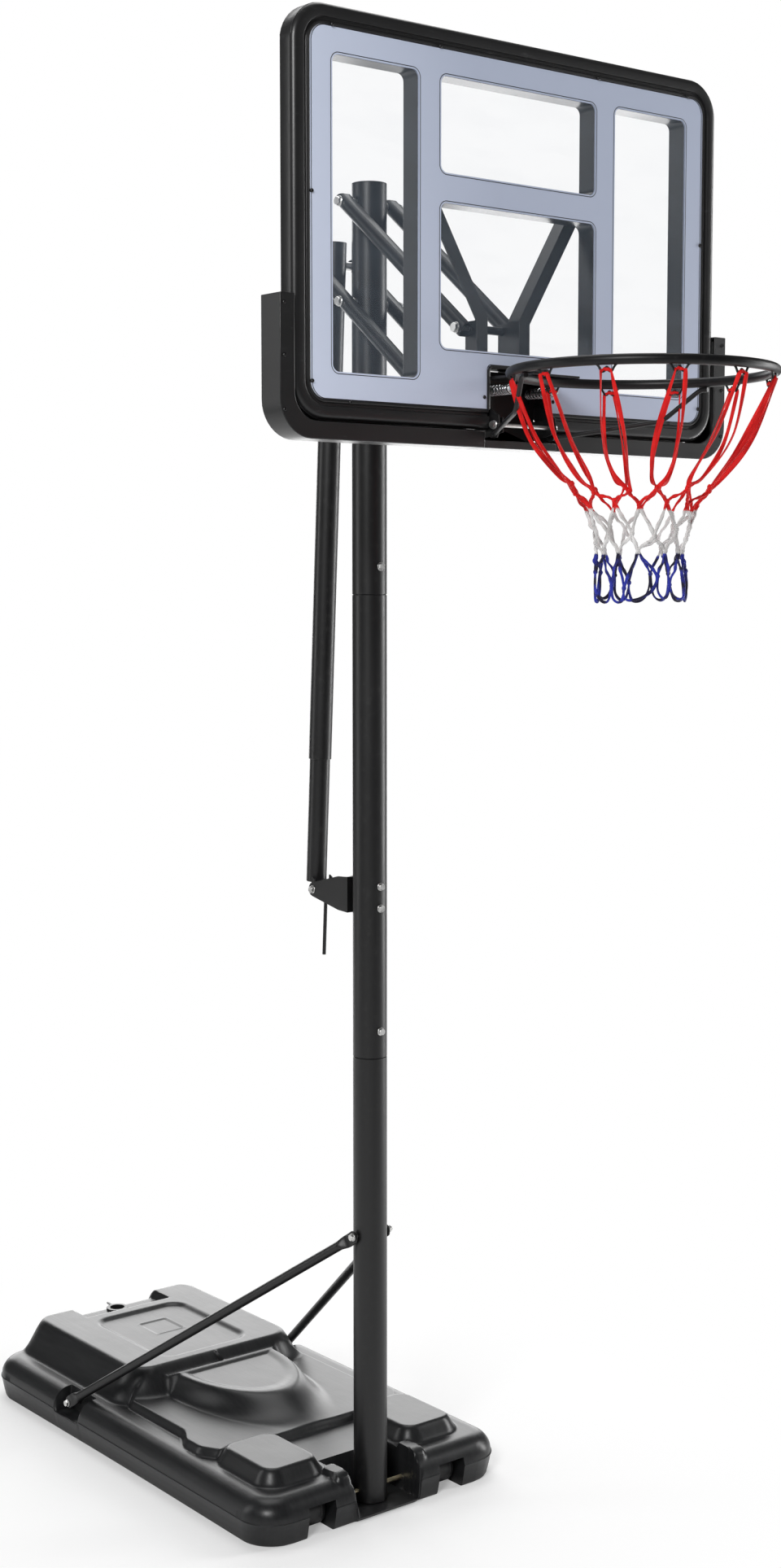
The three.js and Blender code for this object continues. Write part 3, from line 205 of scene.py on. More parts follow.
def softened(node, width, material, slot, segments=3, name=None):
    # the CAD shape with its edges rounded
    piece = finishPiece(name or node + "_shaped", cleanCopy(node), bodyOf[node], slot, material, (node,), 32)
    bevel = piece.modifiers.new("rounded edges", "BEVEL")
    bevel.width, bevel.segments = width, segments
    bevel.limit_method, bevel.angle_limit = "ANGLE", math.radians(30)
    return piece


# ---------- materials ----------

class Wire:
    # one output socket; arithmetic on it adds Math nodes

    def __init__(self, graph, socket):
        self.graph, self.socket = graph, socket

    def maths(self, operation, *values):
        return self.graph.add("Math", {"operation": operation}, dict(enumerate(values)))

    def __add__(self, other):
        return self.maths("ADD", self, other)

    def __radd__(self, other):
        return self.maths("ADD", other, self)

    def __sub__(self, other):
        return self.maths("SUBTRACT", self, other)

    def __rsub__(self, other):
        return self.maths("SUBTRACT", other, self)

    def __mul__(self, other):
        return self.maths("MULTIPLY", self, other)

    def __rmul__(self, other):
        return self.maths("MULTIPLY", other, self)

    def __pow__(self, other):
        return self.maths("POWER", self, other)

    def __abs__(self):
        return self.maths("ABSOLUTE", self)

    def __gt__(self, other):
        return self.maths("GREATER_THAN", self, other)

    def __lt__(self, other):
        return self.maths("LESS_THAN", self, other)

    def sin(self):
        return self.maths("SINE", self)

    def low(self, other):
        return self.maths("MINIMUM", self, other)

    def high(self, other):
        return self.maths("MAXIMUM", self, other)


class Graph:
    # the node tree of one material

    def __init__(self, name):
        self.material = bpy.data.materials.new(name)
        self.material.use_nodes = True
        self.tree = self.material.node_tree
        self.tree.nodes.clear()

    def add(self, kind, settings=None, inputs=None, out=0):
        node = self.tree.nodes.new("ShaderNode" + kind)
        for key, value in (settings or {}).items():
            if key == "stops":
                ramp = node.color_ramp.elements
                while len(ramp) < len(value):
                    ramp.new(0.5)
                for stop, (place, colour) in zip(ramp, value):
                    stop.position, stop.color = place, colour
            else:
                setattr(node, key, value)
        for key, value in (inputs or {}).items():
            if isinstance(value, Wire):
                self.tree.links.new(value.socket, node.inputs[key])
            else:
                node.inputs[key].default_value = value
        return Wire(self, node.outputs[out]) if len(node.outputs) else None

    def place(self, scale=(1, 1, 1), turn=(0, 0, 0)):
        spot = self.add("TexCoord", out="Object")
        return self.add("Mapping", None, {"Vector": spot, "Scale": scale, "Rotation": turn})

    def xyz(self, source="Object"):
        parts = self.add("SeparateXYZ", None, {0: self.add("TexCoord", out=source)}).socket.node.outputs
        return [Wire(self, parts[k]) for k in range(3)]

    def noise(self, vector, scale, detail=3.0, rough=0.5):
        inputs = {"Vector": vector, "Scale": scale, "Detail": detail, "Roughness": rough}
        return self.add("TexNoise", None, inputs)

    def mix(self, share, a, b):
        return self.add("Mix", {"data_type": "RGBA"}, {0: share, 6: a, 7: b}, out=2)

    def span(self, value, low, high, to0=0.0, to1=1.0):
        return self.add("MapRange", {"clamp": True}, {0: value, 1: low, 2: high, 3: to0, 4: to1})

    def bump(self, height, strength, distance, under=None):
        inputs = {"Strength": strength, "Distance": distance, "Height": height}
        if under is not None:
            inputs["Normal"] = under
        return self.add("Bump", None, inputs)

    def surface(self, **inputs):
        shader = self.add("BsdfPrincipled", None, {k.replace("_", " "): v for k, v in inputs.items()})
        self.add("OutputMaterial", None, {0: shader})
        return self.material


def rgb(r, g, b):
    return (r, g, b, 1.0)


def powderCoat(name, shade, roughness=0.42, ior=1.5):
    # satin powder coat: an orange-peel bump, faint dust and a little change of gloss
    g = Graph(name)
    spot = g.place()
    peel = g.noise(spot, 520.0, 2.0)
    patch = g.noise(spot, 9.0, 4.0)
    dust = g.span(g.noise(spot, 60.0, 5.0, 0.65), 0.56, 0.78)
    colour = g.mix(patch, rgb(*shade), rgb(*[1.5 * c for c in shade]))
    colour = g.mix(dust * 0.05, colour, rgb(0.16, 0.155, 0.15))
    rough = roughness - 0.07 + 0.12 * patch + 0.15 * dust
    normal = g.bump(peel, 0.12, 0.0006, g.bump(g.noise(spot, 40.0, 2.0), 0.05, 0.002))
    return g.surface(Base_Color=colour, Roughness=rough, Normal=normal, IOR=ior)


def mouldedPlastic(name, shade, roughness=0.44):
    # satin moulded plastic: spark-eroded grain, flow marks and light handling scuffs
    g = Graph(name)
    spot = g.place()
    grain = g.noise(spot, 900.0, 2.0)
    flow = g.noise(g.place((1.5, 1.5, 5)), 3.0, 3.0)
    scuff = g.span(g.noise(g.place((30, 30, 140), (0.3, 0.5, 0.2)), 1.0, 5.0, 0.7), 0.62, 0.75)
    colour = g.mix(flow, rgb(*shade), rgb(*[1.45 * c for c in shade]))
    colour = g.mix(scuff * 0.18, colour, rgb(0.13, 0.13, 0.135))
    rough = roughness - 0.06 + 0.12 * flow + 0.12 * scuff
    return g.surface(Base_Color=colour, Roughness=rough, Normal=g.bump(grain, 0.1, 0.0004), IOR=1.48)


def tankPlastic(name):
    # blow-moulded polyethylene: fine streaks drawn along the tank, waxy gloss and dust near the floor
    g = Graph(name)
    spot = g.place()
    z = g.xyz()[2]
    streak = g.noise(g.place((260, 9, 60)), 1.0, 4.0, 0.62)
    broad = g.noise(g.place((34, 2.2, 12)), 1.0, 3.0)
    cloud = g.noise(spot, 6.0, 4.0)
    scratch = g.span(g.noise(g.place((18, 420, 90), (0, 0, 0.5)), 1.0, 4.0, 0.7), 0.66, 0.74)
    low = g.span(z + 0.03 * cloud, 0.0, 0.05, 1.0, 0.0)
    colour = g.mix(g.span(streak, 0.3, 0.72), rgb(0.006, 0.0063, 0.007), rgb(0.014, 0.0145, 0.0155))
    colour = g.mix(g.span(broad, 0.35, 0.7) * 0.5, colour, rgb(0.018, 0.0185, 0.0195))
    colour = g.mix(low * 0.2, colour, rgb(0.06, 0.058, 0.055))
    rough = 0.23 + 0.14 * streak + 0.08 * cloud + 0.1 * scratch + 0.15 * low
    waves = g.bump(g.noise(spot, 14.0, 2.0), 0.12, 0.004)
    normal = g.bump(streak + 0.4 * scratch, 0.16, 0.0007, waves)
    return g.surface(Base_Color=colour, Roughness=rough, Normal=normal, IOR=1.43)


def platedSteel(name, shade, tarnish, roughness=0.3):
    # zinc plate: mottled spangle, tarnish in patches and fine turning marks
    g = Graph(name)
    spot = g.place()
    mottle = g.noise(spot, 170.0, 4.0, 0.6)
    patch = g.span(g.noise(spot, 45.0, 4.0), 0.48, 0.7)
    colour = g.mix(mottle, rgb(*[0.8 * c for c in shade]), rgb(*shade))
    colour = g.mix(patch * 0.45, colour, rgb(*tarnish))
    rough = roughness - 0.06 + 0.16 * mottle + 0.12 * patch
    normal = g.bump(g.noise(spot, 1400.0, 2.0), 0.08, 0.0003)
    return g.surface(Base_Color=colour, Roughness=rough, Metallic=1.0, Normal=normal)


def springWire(name):
    # bright drawn wire with a mottled oil film
    g = Graph(name)
    mottle = g.noise(g.place(), 240.0, 4.0, 0.6)
    colour = g.mix(mottle, rgb(0.2, 0.2, 0.21), rgb(0.48, 0.48, 0.49))
    rough = 0.18 + 0.16 * mottle
    return g.surface(Base_Color=colour, Roughness=rough, Metallic=1.0, Normal=g.bump(mottle, 0.1, 0.0003))


cordBands = {"whiteBelow": 2.108, "blueBelow": 2.030, "soft": 0.003, "braid": 2600.0}


def netCord(name):
    # flat braided cord, dyed red, white and blue down the net; the braid runs in the cord's own UVs
    g = Graph(name)
    z = g.xyz()[2]
    along, around = g.xyz("UV")[:2]
    along, around = along * cordBands["braid"], around * tau * 3
    braid = 0.5 + 0.5 * (along + around).sin() * (along - around).sin()
    fuzz = g.noise(g.place(), 700.0, 3.0, 0.7)
    wave = z + 0.012 * (g.noise(g.place(), 22.0, 1.0) - 0.5)
    levels = [cordBands[band] for band in ("whiteBelow", "blueBelow")]
    white, blue = (g.span(wave, level - cordBands["soft"], level, 1.0, 0.0) for level in levels)
    faded = g.span(g.noise(g.place(), 34.0, 1.0), 0.42, 0.58)
    navy = g.mix(faded, rgb(0.012, 0.013, 0.04), rgb(0.03, 0.045, 0.42))
    shade = g.span(g.noise(g.place(), 26.0, 2.0), 0.35, 0.65)
    red = g.mix(shade, rgb(0.62, 0.004, 0.004), rgb(0.88, 0.014, 0.012))
    colour = g.mix(white, red, g.mix(shade, rgb(0.56, 0.55, 0.54), rgb(0.88, 0.87, 0.86)))
    colour = g.mix(blue, colour, navy)
    # the grooves between the braid's strands are darkened: painted shade in the grooves, laid on the same
    # places the bump lowers
    colour = g.mix((1 - braid) * 0.22, colour, rgb(0.03, 0.01, 0.015))
    normal = g.bump(braid + 0.35 * fuzz, 0.35, 0.0005)
    return g.surface(Base_Color=colour, Roughness=0.5 + 0.25 * fuzz, Normal=normal, IOR=1.3)


sheet = {
    # rounded boxes in metres: centre x, centre z, half width, half height, corner radius
    "windows": [
        (-0.3435, 2.622, 0.0975, 0.273, 0.014), (0.3435, 2.622, 0.0975, 0.273, 0.014),
        (0.0, 2.808, 0.1935, 0.086, 0.014), (0.0, 2.5375, 0.1935, 0.1305, 0.014),
    ],
    "notch": (0.0, 2.30, 0.077, 0.08, 0.006), "border": (0.0, 2.621, 0.4905, 0.3235, 0.034),
    "lavender": rgb(0.475, 0.53, 0.67), "pale": rgb(0.69, 0.755, 0.92), "line": rgb(0.012, 0.013, 0.02),
    "edgeLine": 0.0035, "lineWidth": 0.0008, "clearAlpha": 0.045,
}


def printedSheet(name):
    # clear sheet with lavender ink outside its windows, a dark keyline round every edge of the ink and a
    # painted blue-grey reflection tint in its windows
    g = Graph(name)
    spot = g.xyz()
    x, z = spot[0], spot[2]

    def outside(cx, cz, hx, hz, r):
        # the same rounded-box distance as outsideBox, in nodes
        qx, qz = abs(x - cx) - (hx - r), abs(z - cz) - (hz - r)
        long = (qx.high(0.0) ** 2.0 + qz.high(0.0) ** 2.0) ** 0.5
        return long + qx.high(qz).low(0.0) - r

    gap = outside(*sheet["windows"][0])
    for window in sheet["windows"][1:]:
        gap = gap.low(outside(*window))
    edge = gap.low(outside(*sheet["notch"])).low(-1.0 * outside(*sheet["border"]))
    inked = gap > 0.0
    line = abs(edge - sheet["edgeLine"]) < sheet["lineWidth"]
    cloud = g.noise(g.place(), 2.2, 2.0)
    speck = g.noise(g.place(), 1500.0, 2.0)
    shade = g.span(x + 0.25 * z + 0.12 * cloud, 0.17, 0.68)
    colour = g.mix(shade, sheet["pale"], sheet["lavender"])
    colour = g.mix(g.span(speck, 0.35, 0.7) * 0.07, colour, rgb(0.75, 0.8, 0.9))
    colour = g.mix(line, colour, sheet["line"])
    # the clear windows take a pale blue-grey at a low alpha: a painted reflection veil over what is seen
    # through them
    colour = g.mix(inked, rgb(0.45, 0.55, 0.68), colour)
    smear = g.span(g.noise(g.place((2, 1, 7), (0, 0.5, 0)), 3.0, 4.0, 0.6), 0.45, 0.75)
    clear = sheet["clearAlpha"]
    alpha = inked * (1 - clear) + clear + 0.02 * smear * (1 - inked)
    rough = 0.12 + 0.04 * smear + 0.2 * inked
    normal = g.bump(g.noise(g.place(), 3.0, 2.0), 0.05, 0.004)
    return g.surface(Base_Color=colour, Roughness=rough, Alpha=alpha, Normal=normal, IOR=1.58)


steelBlack = powderCoat("black_powder_coat", (0.005, 0.005, 0.0054), 0.4)
rimBlack = powderCoat("black_rim_coat", (0.004, 0.004, 0.0044), 0.44, 1.38)
plasticBlack = mouldedPlastic("black_moulded_plastic", (0.011, 0.011, 0.0115), 0.34)
wheelPlastic = mouldedPlastic("wheel_plastic", (0.008, 0.008, 0.0085), 0.4)
tankShade = tankPlastic("tank_polyethylene")
zincPlate = platedSteel("bright_zinc", (0.78, 0.78, 0.77), (0.45, 0.44, 0.42))
zincYellow = platedSteel("yellow_zinc", (0.9, 0.8, 0.55), (0.66, 0.52, 0.3), 0.27)
springShade = springWire("oiled_spring_wire")
cordShade = netCord("dyed_cord")
sheetShade = printedSheet("printed_clear_sheet")
print("materials ready")


# ---------- base tank ----------

wheel = {"r": 37, "half": 28, "bore": 5.4, "x": 176, "z": 38, "clear": 7}
tank = {
    "halfWidth": 330, "frontY": -66, "rearY": 1095, "corner": 78, "parting": 52, "edge": 44, "inset": 12,
    "deck": 96, "columns": 211, "rows": 321, "flash": 1.6,
    # raised shapes: centre x on both sides, centre y, half width, half length, corner, height, slope
    "channel": (0, 396, 242, 188, 20, 113, 14), "pads": (186, 112, 60, 84, 26, 129, 30),
    "lugs": (102, -14, 14, 30, 10, 108, 8), "block": (0, 832, 210, 230, 45, 170, 62),
    # the dome: y of its back, half widths and lengths of its top and foot, height, depth of its dish
    "domeY": 552, "domeTop": (130, 222), "domeFoot": (168, 372), "domeDish": (112, 196), "domeHeight": 157,
    "dishDepth": 4, "fillerY": 1040, "fillerSeat": 21,
}


def tankTop(x, y):
    # each feature lifts the deck towards its own height by 1 - smooth(distance outside its outline / slope)
    def lift(outside, top, slope):
        return z + (np.maximum(top, z) - z) * (1 - smooth(outside / slope))

    def feature(name, grow=0):
        cx, cy, hx, hy, r, top, slope = tank[name]
        return lift(outsideBox(np.abs(x) - cx, y - cy, hx + grow, hy, r), top, slope)

    def sunk(outside, level, slope):
        # lowered to a level inside an outline
        return z + (np.minimum(z, level) - z) * (1 - smooth(outside / slope))

    z = np.full(x.shape, float(tank["deck"]))
    z = feature("channel", 24 * smooth((y - 205) / 60) * (1 - smooth((y - 300) / 60)))
    # the dome is half an ellipse seen from above, whose wall slopes from the top's outline to the foot's
    ahead = np.maximum(0, tank["domeY"] - y)
    topReach, footReach, dishReach = (
        np.hypot(x / tank[part][0], ahead / tank[part][1]) for part in ("domeTop", "domeFoot", "domeDish"))
    wall = (topReach - 1) / np.maximum(topReach - footReach, 1e-6)
    wall = np.where(topReach > 0, np.maximum(wall, (y - tank["domeY"]) / 34), 0)
    z = lift(wall, tank["domeHeight"], 1)
    dish = np.maximum(dishReach - 1, (y - tank["domeY"] + 12) / 60)
    z = z - tank["dishDepth"] * (1 - smooth(dish * 6 + 0.4)) * (z > 140)
    z = feature("pads")
    z = feature("lugs")
    z = feature("block")
    # the block's sunk panel with a raised square in it, and the step down round the filler
    z = z - 7 * (1 - smooth(outsideBox(x, y - 790, 112, 150, 30) / 16))
    square = outsideBox(x, y - 832, 38, 42, 4)
    z = z - 1.6 * (1 - smooth((square + 1) / 2)) + 1.2 * (1 - smooth(np.abs(square - 2) / 2.5))
    z = np.minimum(z, 150 + 20 * smooth(np.maximum(np.abs(x) - 108, 996 - y) / 14))
    # the rounded edge: a quarter ellipse from the deck down to the parting line
    middle, half = (tank["frontY"] + tank["rearY"]) / 2, (tank["rearY"] - tank["frontY"]) / 2
    inside = -outsideBox(x, y - middle, tank["halfWidth"], half, tank["corner"])
    fall = 1 - np.clip(inside / tank["edge"], 0, 1)
    z = tank["parting"] + (z - tank["parting"]) * np.sqrt(np.maximum(0, 1 - fall ** 2))
    # the pole's bay, the struts' pockets and the filler's seat
    z = sunk(np.maximum(np.abs(x) - 84, y - 62) + 2, 12, 7)
    z = sunk(np.maximum(286 - np.abs(x), np.abs(y - 729) - 50) + 2, 46, 8)
    return sunk(np.hypot(x, y - tank["fillerY"]) - tank["fillerSeat"] + 1.5, 126, 3)


def tankShell():
    middle, half = (tank["frontY"] + tank["rearY"]) / 2, (tank["rearY"] - tank["frontY"]) / 2
    # rows lie a little closer at the rounded ends: y = middle + half (0.86 t + 0.14 sin(pi t / 2)^3)
    t = np.linspace(-1, 1, tank["rows"])
    y = middle + half * (0.86 * t + 0.14 * np.sin(t * math.pi / 2) ** 3)
    y[0], y[-1] = tank["frontY"], tank["rearY"]
    into = np.maximum(0, np.abs(y - middle) - half + tank["corner"])
    width = tank["halfWidth"] - tank["corner"] + np.sqrt(np.maximum(0, tank["corner"] ** 2 - into ** 2))
    s = np.linspace(-1, 1, tank["columns"])
    s = 0.8 * s + 0.2 * np.sin(s * math.pi / 2)
    x = s[None] * width[:, None]
    yy = np.repeat(y[:, None], len(s), 1)
    top = np.stack([x, yy, tankTop(x, yy)], -1)
    shell = Surfaces().grid(top)
    # the wall runs down from the rim of the top grid: a flash line, then a drafted side and a rounded foot
    rim = np.concatenate([top[0, :], top[1:, -1], top[-1, -2::-1], top[-2::-1, 0]])
    out = np.stack([rim[:, 0] / tank["halfWidth"], (rim[:, 1] - middle) / half, 0 * rim[:, 0]], -1)
    out = out / np.linalg.norm(out, axis=1, keepdims=True)
    inset, flash = tank["inset"], tank["flash"]
    steps = [(0.98, flash), (0.95, flash), (0.92, 0.0), (0.6, -0.25 * inset), (0.3, -0.55 * inset),
             (0.12, -0.75 * inset), (0.03, -inset), (0.0, -1.4 * inset)]
    rows = [rim]
    for level, shift in steps:
        ring = rim + out * shift
        ring[:, 2] = rim[:, 2] * level
        rows.append(ring)
    # the underside closes to a line and then to a point
    centre = np.zeros_like(rim)
    centre[:, 0] = 0.4 * rim[:, 0]
    centre[:, 1] = middle + 0.4 * (rim[:, 1] - middle)
    hub = np.zeros_like(rim)
    hub[:, 1] = middle
    return shell.grid(np.stack(rows + [centre, hub]))


def cutter(points, x0, x1):
    # an outline in Y and Z carried from x0 to x1
    outline = np.array(points + points[:1], float)
    grid = np.stack([np.column_stack([np.full(len(outline), x), outline]) for x in (x0, x1)])
    ends = [np.broadcast_to(np.append([x], outline[:-1].mean(0)), grid[0].shape) for x in (x0, x1)]
    mesh = Surfaces().grid(np.stack([ends[0], grid[0], grid[1], ends[1]])).mesh("cutter")
    tool = bpy.data.objects.new("cutter", mesh)
    bpy.context.scene.collection.objects.link(tool)
    return tool


def buildTank():
    shell = tankShell()
    piece = finishPiece("base_tank_moulded", shell, "stand", "tank_plastic", tankShade, ("base_tank",), 40)
    # each wheel's bay is an arch round the axle, open to the front and below
    reach, half = wheel["r"] + wheel["clear"], wheel["half"] + wheel["clear"]
    turn = np.linspace(-0.9, math.pi / 2, 12)
    roof = [(reach * math.sin(a), wheel["z"] + reach * math.cos(a)) for a in turn]
    arch = [(-80, -10), (-80, 70)] + roof + [(reach, -10)]
    tools = [cutter(arch, side * wheel["x"] - half, side * wheel["x"] + half) for side in (-1, 1)]
    for tool in tools:
        cut = piece.modifiers.new("wheel bay", "BOOLEAN")
        cut.operation, cut.object, cut.solver = "DIFFERENCE", tool, "EXACT"
    bpy.context.view_layer.update()
    done = bpy.data.meshes.new_from_object(piece.evaluated_get(bpy.context.evaluated_depsgraph_get()))
    piece.modifiers.clear()
    piece.data = done
    done.materials.clear()
    done.materials.append(tankShade)
    done.set_sharp_from_angle(angle=math.radians(40))
    for tool in tools:
        bpy.data.objects.remove(tool)


buildTank()
print("base tank ready")


# ---------- wheels, axle and plug ----------

def buildWheels():
    r, half, bore = wheel["r"], wheel["half"], wheel["bore"]
    side = [(bore, half), (bore + 7, half), (bore + 8, half - 6), (r - 9, half - 6), (r - 8, half - 0.5),
            (r - 3, half), (r - 1, half - 0.8), (r, half - 3), (r, half - 9), (r - 0.8, half - 10),
            (r - 0.8, half - 12), (r, half - 13)]
    profile = side + [(a, -b) for a, b in reversed(side)] + side[:1]
    for name, sign in (("left", -1), ("right", 1)):
        node = "wheel_" + name
        tyre = Surfaces().grid(turned(profile, 72, "x", (sign * wheel["x"], 0, wheel["z"])))
        finishPiece(node + "_moulded", tyre, name + "_wheel", "black_plastic", wheelPlastic, (node,), 32)


def rodProfile(radius, low, high, chamfer=0.8):
    return [(0, low), (radius - chamfer, low), (radius, low + chamfer),
            (radius, high - chamfer), (radius - chamfer, high), (0, high)]


buildWheels()
axle = Surfaces().grid(turned(rodProfile(5, -322, 322), 32, "x", (0, 0, wheel["z"])))
finishPiece("axle_rod_plated", axle, "stand", "yellow_zinc", zincYellow, ("axle_rod",))
plugSize = {"z": 150, "stem": 20.6, "flange": 27}


def buildPlug():
    stem, flange = plugSize["stem"], plugSize["flange"]
    profile = [(0, -22), (stem - 1, -22), (stem, -21), (stem, 0.3), (flange - 1, 0.3), (flange, 1.2),
               (flange, 4.2), (flange - 1, 5.3), (stem - 2, 5.3), (stem - 3, 4.3), (stem - 3, -16),
               (stem - 5, -18), (0, -18)]
    place = np.array([0, tank["fillerY"], plugSize["z"]])
    plug = Surfaces().grid(turned(profile, 56, centre=place))
    tab = place + [[0, 24, 2.8], [0, 34, 3.0], [0, 44, 4.0], [0, 48, 4.6]]
    plug.grid(swept(spline(tab, 14), 5 * np.sin(np.linspace(1.2, 2.7, 14)), 16, flat=0.3))
    finishPiece("filler_plug_moulded", plug, "plug", "black_plastic", plasticBlack, ("filler_plug",))


buildPlug()
print("wheels and plug ready")


# ---------- pole and struts ----------

pole = {"r": 36, "wall": 1.6, "foot": 14, "seams": (982, 1954), "top": 2787, "neck": 95}


def tubeProfile(outer, wall, low, high, lip=0.6):
    inner = outer - wall
    return [(outer - lip, low), (outer, low + lip), (outer, high - lip), (outer - lip, high),
            (inner, high), (inner, low), (outer - lip, low)]


def buildPole():
    r, wall = pole["r"], pole["wall"]
    levels = [pole["foot"], *pole["seams"], pole["top"]]
    for k, name in enumerate(("lower", "middle", "upper")):
        low, high = levels[k] + (0.6 if k else 0), levels[k + 1]
        tube = Surfaces().grid(turned(tubeProfile(r, wall, low, high, 0.9), 96))
        if k < 2:
            tube.grid(turned(tubeProfile(r - wall - 0.3, wall, high - 6, high + pole["neck"]), 72))
        finishPiece(name + "_pole_coated", tube, "stand", "black_steel", steelBlack, (name + "_pole",))
    # the cap is a shallow dome: height = rise (1 - (r / R)^4)
    reach = np.linspace(0, 1, 9)
    top = pole["top"]
    dome = [(r * q * 0.985, top + 0.6 + 2.4 * (1 - q ** 4)) for q in reach]
    skirt = [(r, top + 1.2), (r, top + 0.4), (r - 2, top + 0.3), (r - 2, top - 21), (0, top - 21)]
    cap = Surfaces().grid(turned(dome + skirt, 96))
    finishPiece("pole_cap_moulded", cap, "stand", "black_plastic", plasticBlack, ("pole_cap",))


strut = {"r": 10.5, "top": (44, 0, 597), "foot": (312, 745, 72), "flat": 34, "press": 22}


def buildStruts():
    top, foot = np.array(strut["top"], float), np.array(strut["foot"], float)
    along = (foot - top) / np.linalg.norm(foot - top)
    length = np.linalg.norm(foot - top)
    s = np.concatenate([np.linspace(-11, strut["flat"] + strut["press"], 26),
                        np.linspace(length - strut["flat"] - strut["press"], length + 11, 26)])
    ends = np.minimum(s, length - s)
    # share of roundness: 0 in the pressed ends, 1 along the tube
    roundness = smooth((ends - strut["flat"] + 12) / strut["press"])
    tall = strut["r"] * (1.32 - 0.32 * roundness) * np.sqrt(np.clip((ends + 11.01) / 9, 0, 1))
    thin = 2.5 + (strut["r"] - 2.5) * roundness
    angle = np.linspace(0, tau, 41)
    # a superellipse section: |cos|^p keeps the pressed ends flat-sided
    power = (0.35 + 0.65 * roundness)[:, None]
    c, d = np.cos(angle)[None], np.sin(angle)[None]
    wide = thin[:, None] * np.sign(c) * np.abs(c) ** power
    high = tall[:, None] * np.sign(d) * np.abs(d) ** (0.8 + 0.2 * roundness[:, None])
    across = np.array([0, -along[2], along[1]]) / np.hypot(along[1], along[2])
    axisPoint = top + along * s[:, None]
    flatX = np.where(s < length / 2, top[0], foot[0])
    axisPoint[:, 0] = flatX + (axisPoint[:, 0] - flatX) * smooth((ends - 10) / 30)
    grid = axisPoint[:, None] + np.array([1.0, 0, 0]) * wide[..., None] + across * high[..., None]
    for name, sign in (("left", -1), ("right", 1)):
        tube = Surfaces().grid(capped(grid) * [sign, 1, 1])
        finishPiece(f"strut_{name}_coated", tube, "stand", "black_steel", steelBlack, ("strut_" + name,), 50)


buildPole()
buildStruts()
print("pole and struts ready")


# ---------- bolts ----------

boltSmall = {
    "shank": 4, "head": 7.5, "headHeight": 5.5, "nut": 6.5, "washer": 8.5, "washerHeight": 1.6, "tip": 4,
}
boltLarge = {
    "shank": 5, "head": 9.2, "headHeight": 6.4, "nut": 8, "washer": 10.5, "washerHeight": 2, "tip": 4,
}


def hexagonPart(r, low, high, cutLow, cutHigh):
    # a hexagon prism whose corners are cut back to a cone at the chamfered ends
    cone = 0.86 * r
    rows = [(0, low), (cone if cutLow else r, low), (r, low + (0.9 if cutLow else 0.05)),
            (r, high - (0.9 if cutHigh else 0.05)), (cone if cutHigh else r, high), (0, high)]
    return rows, [0, 0 if cutLow else 1, 1, 1, 0 if cutHigh else 1, 0]


def boltSurfaces(size, low, high, flip, nut, spacer):
    # everything on the bolt along one axis, head at the low end, or at the high end when flipped
    total = high - low
    head, shank = size["headHeight"], size["shank"]
    washer, under = size["washer"], head + size["washerHeight"]
    parts = [hexagonPart(size["head"], 0, head, True, False)]
    parts.append(([(0, head), (washer - 0.4, head), (washer, head + 0.4), (washer, under), (0, under)], None))
    ridges = np.linspace(total - size["tip"], total - 1, 9) if nut else []
    rows = [(0, head), (shank, head), (shank, total - (size["tip"] if nut else 1))]
    rows += [(shank - 0.45 * (k % 2), float(h)) for k, h in enumerate(ridges)]
    parts.append((rows + [(shank - 1.2, total), (0, total)], None))
    if nut:
        end = total - size["tip"]
        start = end - size["nut"]
        below = start - size["washerHeight"]
        parts.append(hexagonPart(size["head"], start, end, False, True))
        seat = [(0, below), (washer, below), (washer, start - 0.4), (washer - 0.4, start), (0, start)]
        parts.append((seat, None))
    if spacer:
        near, far, r = spacer
        parts.append(([(0, near), (r, near), (r, far), (0, far)], None))
    return [([(r, high - h if flip else low + h) for r, h in rows], share) for rows, share in parts]


boltList = [  # node, size, axis, flipped, has a nut
    ("pole_joint_bolt_lower", boltSmall, "y", False, True),
    ("pole_joint_bolt_upper", boltSmall, "y", False, True),
    ("strut_top_bolt", boltSmall, "x", False, True),
    ("strut_foot_bolt_left", boltSmall, "x", False, False),
    ("strut_foot_bolt_right", boltSmall, "x", True, False),
    ("jack_foot_pivot_bolt", boltSmall, "x", False, True),
    ("jack_bracket_bolt_top", boltSmall, "y", False, True),
    ("jack_bracket_bolt_bottom", boltSmall, "y", False, True),
    ("upper_pole_pivot_bolt", boltLarge, "x", False, True),
    ("lower_pole_pivot_bolt", boltLarge, "x", False, True),
    ("upper_front_pivot_bolt", boltLarge, "x", False, True),
    ("lower_front_pivot_bolt", boltLarge, "x", False, True),
    ("rim_hinge_bolt", boltSmall, "x", False, True),
    ("spring_bolt_left", boltSmall, "y", True, True),
    ("spring_bolt_right", boltSmall, "y", True, True),
    ("jack_top_pin_left", boltLarge, "x", False, False),
    ("jack_top_pin_right", boltLarge, "x", True, False),
]


